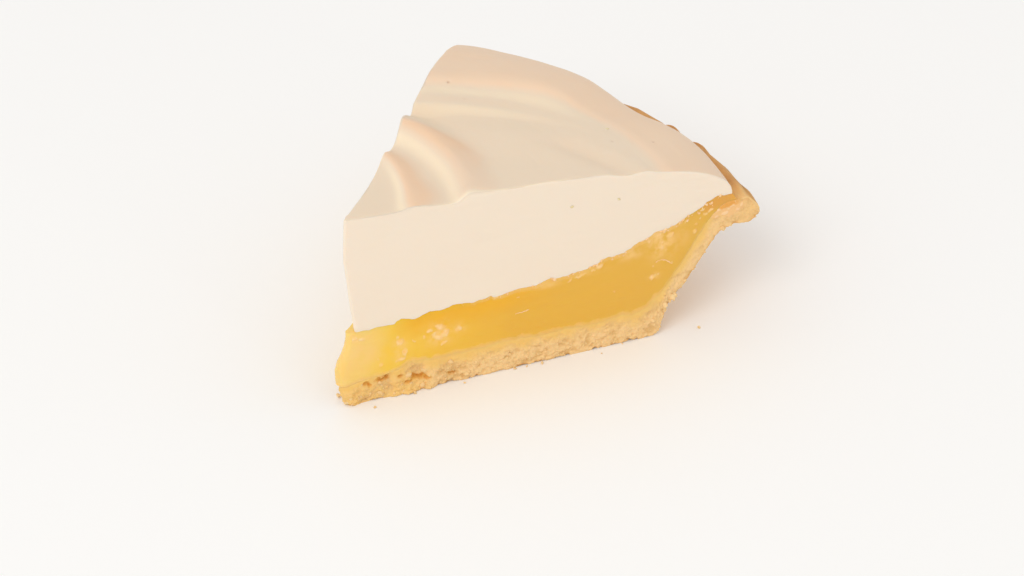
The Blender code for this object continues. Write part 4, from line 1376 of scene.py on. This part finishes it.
# Hollows in the right cut: distance along it, height, length, height of the opening, depth
HOLLOWS = ((0.0048, 0.0064, 0.0010, 0.0007, 0.0012), (0.0058, 0.0054, 0.0007, 0.0010, 0.0013),
           (0.0084, 0.0069, 0.0009, 0.0008, 0.0014),
           (0.0104, 0.0072, 0.0012, 0.0007, 0.0015), (0.0138, 0.0066, 0.0008, 0.0005, 0.0010),
           (0.0192, 0.0047, 0.0024, 0.0009, 0.0016), (0.0166, 0.0038, 0.0014, 0.0006, 0.0012),
           (0.0220, 0.0043, 0.0015, 0.0006, 0.0013), (0.0300, 0.0032, 0.0012, 0.0006, 0.0010))
HOLLOW_WALLS = 1.8
CRUMB_HEIGHT = 0.0011
RIM_WEAR = 0.0013
# The band's thickness at shares of its length
THICKNESS = ((0.0, 0.1, 0.5, 0.7, 1.0), (0.007, 0.010, 0.011, 0.007, 0.006))

t, s, w, faces, wide = block_skin(*CRUST_GRID, under_step=4, over_step=8)
r, z = crust_section(t, s, w)
floor_change = soaked_line(r, s) - crust_floor(r)
z = z + floor_change * w * (t < STRETCHES[2])
points = place(r, s, z, CRUST_NOSE)
normals = normals_of(points, faces)
cut = (np.abs(s) == 1.0) | (t == 0.0)
thickness = np.interp(t, *THICKNESS)
print("pastry's skin:", len(points), "points,", int(cut.sum()), "of them on its cuts")

# %% Crumb, hollows and dough
RAGGED = 0.0014
WRINKLES = (0.00022, 0.0045, 64, 3)
DOUGH_GRAIN = 0.00010
# Under the gel and the meringue nothing shows, up to this distance from the centre
COVERED_TO = 0.122

near_point = drop(r, 0.018, 0.040)
soak = fade(w + 0.15 * cloud(points, 0.004, 67), 0.45, 0.95) * drop(t, 0.80, 0.92)
rough = (1.0 - 0.72 * soak) * (1.0 - 0.45 * fade(r, 0.100, 0.108)) * drop(w, 0.92, 1.0)
bent = points + 0.0007 * np.column_stack([cloud(points, 0.0016, k, 2) for k in (71, 72, 73)])
fine = grains(points, 0.0011, 61) - 0.40
lumps = cloud(points, 0.0048, 63, 3)
knobs = cloud(bent * (1.0, 1.0, 1.4), 0.0020, 74, 3)
cracks = (1.0 - np.clip(grains(bent, 0.0021, 62) / 0.22, 0.0, 1.0)) * fade(knobs, 0.0, 0.3)
ridges = cloud(laid_flat(r, s, 0.45 * z), 0.0034, 75, 2) * near_point
# Each kind of unevenness has its weight, and the sum is about 0 in the mean
crumb = 0.03 + 0.25 * lumps + 0.90 * knobs + 0.38 * fine + 1.8 * ridges - 0.22 * cracks
ragged_r = r + RAGGED * cloud(points, 0.0022, 68, 3)
ragged_z = z + RAGGED * cloud(points, 0.0022, 69, 3)
hollow = np.zeros(len(points))
for *spot, deep_by in HOLLOWS:
    opening = np.exp(-ellipse(ragged_r, ragged_z, spot) ** HOLLOW_WALLS)
    hollow = np.maximum(hollow, deep_by * opening * (s > 0.5))
dough = clouds(points, WRINKLES) + DOUGH_GRAIN * grains(points, 0.0011, 65)
hidden = (w == 1.0) & (r < COVERED_TO) & (np.abs(s) < 1.0) & (t > 0.0)
height = np.where(cut, CRUMB_HEIGHT * crumb * rough - hollow, np.where(hidden, 0.0, dough))
print("crumb goes in and out by", np.round(1000.0 * np.percentile(height[cut], (2, 98)), 1), "mm")

# %% The glaze on the rim's cut end
# Two flat patches in the right cut: distance along it, height and two half sizes
ORANGE_PATCH = (0.1194, 0.0444, 0.0072, 0.0034)
GLAZED_PATCH = (0.1205, 0.0405, 0.0066, 0.0030)
PATCH_EDGE = (0.55, 1.25)
GLAZE_DEPTH = 0.00018
GLAZE_FILLS = 0.6
# Spots of the glaze that carry a painted highlight and are a little thicker, in mm and degrees, as
# the lumps of torn gel are given
GLINTS = ((125.2, 43.4, 0.7, 0.5, 30), (124.8, 39.9, 0.7, 0.4, 0), (122.2, 41.2, 0.9, 0.4, 10),
          (119.6, 38.6, 1.4, 0.7, 20), (121.0, 40.2, 0.5, 0.4, 30), (126.0, 41.4, 0.4, 0.8, 0),
          (118.0, 40.8, 0.7, 0.4, 40), (123.4, 42.6, 0.4, 0.3, 0), (117.3, 38.9, 0.6, 0.4, 20))


def patch(r, s, z, spot):
    """1 inside an ellipse on the right cut, 0 outside it, and an S-curve between them."""
    return drop(ellipse(r, z, spot), *PATCH_EDGE) * (s == 1.0)


orange_of, glazed_of = (patch(ragged_r, s, ragged_z, spot) for spot in (ORANGE_PATCH, GLAZED_PATCH))
wet = np.maximum(orange_of, glazed_of)
# A painted highlight, and a little extra thickness of glaze
glint_of = torn_at(GLINTS, ragged_r, ragged_z) * (s == 1.0)
glaze = GLAZE_DEPTH * (wet + glint_of)
height = np.where(cut, height * (1.0 - GLAZE_FILLS * wet) + glaze, height)
print("glaze up to", round(1000.0 * float(glaze.max()), 2), "mm thick")

# %% The crumbled lower edge and the worn end of the rim
CHIP_HEIGHT = 0.0007
CHIP_REACH = 0.002
CHIPS_END = (0.0855, BASE_END)

outer = fade(r, 0.100, 0.112)
side_w = thickness * np.minimum(w, (1.0 - w) + drop(r, 0.1225, 0.1265))
across_edge = np.where((w == 0.0) | (w == 1.0) | (t == 1.0), to_cut(r, s), side_w)
from_edge = across_edge + 0.01 * (w == 1.0) * drop(r, 0.1225, 0.1260)
wear = RIM_WEAR * outer + 0.0001
points = points + normals * (height - worn(from_edge, wear) * outer)[:, None]
chipped = np.clip(cloud(laid_flat(r, s), 0.0034, 66, 2), 0.0, 1.0)
lift = CHIP_HEIGHT * chipped * beside_cut(r, s, CHIP_REACH) * (1.0 - w)
points[:, 2] = np.maximum(points[:, 2] + lift * drop(r, *CHIPS_END), 0.0)
print("lower edge chipped by up to", round(1000.0 * float(lift.max()), 2), "mm")

# %% The pastry becomes an object
# Hollows this deep get the full painted shade
DEEP_HOLLOW = 0.0010
PASTRY_CREASE = radians(75.0)

on_rim = fade(r, 0.1215, 0.1260)
skin = 0.45 + 0.22 * on_rim * w + 0.10 * fade(r, 0.097, 0.12)
in_cut = 0.14 + 0.10 * on_rim + 0.06 * fade(r, 0.103, 0.118) + 0.08 * drop(r, 0.016, 0.028)
baked_of = np.where(cut, in_cut + 0.12 * drop(w, 0.0, 0.06), skin)
# Painted shade in the crumb's pits, where the relief is low, and in its cracks
pit_shade_of = (0.85 * fade(-crumb, 0.0, 0.5) + 0.2 * cracks) * fade(rough, 0.1, 0.7) * cut
soaked_of = np.maximum(soak, 0.65 * drop(r, 0.016, 0.028)) * cut
pastry_values = {"baked": baked_of, "pit": np.clip(pit_shade_of, 0.0, 0.9), "soaked": soaked_of,
                 "amber": 0.9 * np.clip(hollow / DEEP_HOLLOW, 0.0, 1.0),
                 "orange": 0.85 * orange_of, "glazed": 0.8 * glazed_of,
                 "glint": 0.75 * np.sqrt(glint_of)}
pastry_points, pastry_normals = points, normals
pastry_t, pastry_s, pastry_w = t, s, w
pastry_piece = add_piece("pastry_crust", points, faces, pastry_finish.material,
                         pastry_values, wide, crease=PASTRY_CREASE)
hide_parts("crust")

# %% [markdown]
# ## Crumbs
#
# Short pastry breaks into crumbs when it is cut. Most of them still sit on the broken
# face, half sunk in it, more of them low down and round the point. A few have fallen to
# the floor, close to where they broke off.

# %% Crumbs that sit on the cuts
STUCK_CRUMBS = 120
STUCK_SIZES = (0.00022, 0.00050, 2.2)
LARGER_NEAR_POINT = 0.5
CRUMB_SUNK = 0.45


def add_crumbs(name, lumps, rng, most_baked):
    """Lumps of pastry as one piece, each of them baked between 0 and the most."""
    points, faces, per_lump = lumps
    baked = rng.uniform(0.0, most_baked, len(points) // per_lump)
    add_piece(name, points, faces, pastry_finish.material,
              {"baked": np.repeat(baked, per_lump)}, crease=pi)


rng = np.random.default_rng(31)
# Few where the pastry is soaked and on the wall, many near the point, none in hollows
chance = cut * (1.0 - 0.9 * soak) * (0.35 + near_point) * (1.0 - 0.7 * fade(r, 0.100, 0.112))
chance = chance * (w < 0.97) * (w > 0.01) * (hollow < 0.0004)
picked = rng.choice(len(pastry_points), STUCK_CRUMBS, replace=False, p=chance / chance.sum())
sizes = uneven(rng, STUCK_CRUMBS, *STUCK_SIZES) * (1.0 + LARGER_NEAR_POINT * near_point[picked])
crumb_sizes = sizes[:, None] * rng.uniform(0.7, 1.25, (STUCK_CRUMBS, 3))
centres = pastry_points[picked] - pastry_normals[picked] * (CRUMB_SUNK * sizes)[:, None]
centres[:, 2] = np.maximum(centres[:, 2], sizes)
uprights = rng.normal(size=(STUCK_CRUMBS, 3))
add_crumbs("stuck_crumbs", scattered(3, centres, uprights, crumb_sizes, 0.6, 32), rng, 0.22)

# %% Lumps along the broken outer edge of the wall
EDGE_LUMPS = 34
EDGE_LUMP_SPAN = (0.60, 0.99)
EDGE_LUMP_SIZES = (0.00030, 0.00065, 2.0)
EDGE_LUMP_SUNK = 0.35

rng = np.random.default_rng(36)
on_outer_edge = np.flatnonzero((np.abs(pastry_s) == 1.0) & (pastry_w < 0.05)
                               & (pastry_t > EDGE_LUMP_SPAN[0]) & (pastry_t < EDGE_LUMP_SPAN[1]))
picked = rng.choice(on_outer_edge, EDGE_LUMPS, replace=False)
sizes = uneven(rng, EDGE_LUMPS, *EDGE_LUMP_SIZES)
lump_sizes = sizes[:, None] * rng.uniform(0.7, 1.3, (EDGE_LUMPS, 3))
centres = pastry_points[picked] - pastry_normals[picked] * (EDGE_LUMP_SUNK * sizes)[:, None]
uprights = rng.normal(size=(EDGE_LUMPS, 3))
add_crumbs("edge_lumps", scattered(4, centres, uprights, lump_sizes, 0.5, 37), rng, 0.15)

# %% Crumbs that fell
FALLEN_CRUMBS = 22
FALLEN_OUT_BY = (0.0006, 0.0045, 2.0)
FALLEN_SIZES = (0.00022, 0.00040, 2.0)
FALLEN_ON_RIGHT = 0.6
# The one that lies to the left of the point: its middle in the frame, and its size
LONE_CRUMB, LONE_SIZE = (-0.0075, -0.0655, 0.0007), 0.0008

along_r = rng.uniform(0.004, 0.112, FALLEN_CRUMBS)
out_by = uneven(rng, FALLEN_CRUMBS, *FALLEN_OUT_BY)
sizes = uneven(rng, FALLEN_CRUMBS, *FALLEN_SIZES)
side = np.where(rng.uniform(0.0, 1.0, FALLEN_CRUMBS) < FALLEN_ON_RIGHT, 1.0, -1.0)
feet = place(along_r, side, 0.7 * sizes, CRUST_NOSE)
feet[:, 0] -= CUT_INWARD[0] * side * out_by
feet[:, 1] -= CUT_INWARD[1] * out_by
feet = np.vstack([feet, LONE_CRUMB])
sizes = np.append(sizes, LONE_SIZE)
crumb_sizes = sizes[:, None] * rng.uniform(0.75, 1.2, (len(sizes), 3))
uprights = rng.normal(size=(len(sizes), 3))
add_crumbs("fallen_crumbs", scattered(3, feet, uprights, crumb_sizes, 0.5, 33), rng, 0.15)

# %% [markdown]
# ## Syrup on the meringue
#
# A baked meringue weeps a little syrup, and the knife carried some gel across the cut.
# Both leave a few flat yellow spots, no more than a millimetre wide.

# %% The spots of syrup
SPOTS_ON_CUT = ((0.0708, 0.0536), (0.0859, 0.0527))
SPOTS_ON_TOP = ((0.0970, 0.38),)
SPOT_SIZE = (0.00055, 0.00042, 0.00012)
SPOT_LIFT = 0.00008
SYRUP_STOPS = ((0.3, (238, 214, 160)), (0.7, (242, 220, 172)))

syrup_finish = Finish("syrup", Roughness=0.15, IOR=1.4, Subsurface_Weight=0.4,
                      Subsurface_Radius=(1.0, 0.8, 0.4), Subsurface_Scale=0.001, Coat_Weight=0.3)
syrup_finish.feed("Base Color", syrup_finish.ramp(syrup_finish.noise(900.0, 1.0), SYRUP_STOPS))
cut_rz, top_rs = np.array(SPOTS_ON_CUT), np.array(SPOTS_ON_TOP)
on_cut = place(cut_rz[:, 0], np.ones(len(cut_rz)), cut_rz[:, 1], MERINGUE_NOSE)
tops = meringue_top(top_rs[:, 0], top_rs[:, 1])
on_top = place(top_rs[:, 0], top_rs[:, 1], tops, MERINGUE_NOSE)
out_of_cut = np.tile([-CUT_INWARD[0], -CUT_INWARD[1], 0.0], (len(on_cut), 1))
uprights = np.vstack([out_of_cut, np.tile([0.0, 0.0, 1.0], (len(on_top), 1))])
centres = np.vstack([on_cut, on_top]) + SPOT_LIFT * uprights
spot_sizes = np.tile(SPOT_SIZE, (len(centres), 1))
points, faces, _ = scattered(3, centres, uprights, spot_sizes, 0.4, 24)
add_piece("syrup_spots", points, faces, syrup_finish.material, crease=pi)

# %% [markdown]
# ## The size that came out
#
# The dressed slice is kept within the box of the solids. The dressed slice may not be
# larger than the solids. Both boxes are gathered, and the dressed slice's size is
# printed.

# %% Both boxes, and the end
low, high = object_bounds()
sizes = {"cad": [list(cad_low), list(cad_high)], "visual": [list(low), list(high)]}
print("dressed slice in mm:", [round(1000 * (b - a), 1) for a, b in zip(low, high)])
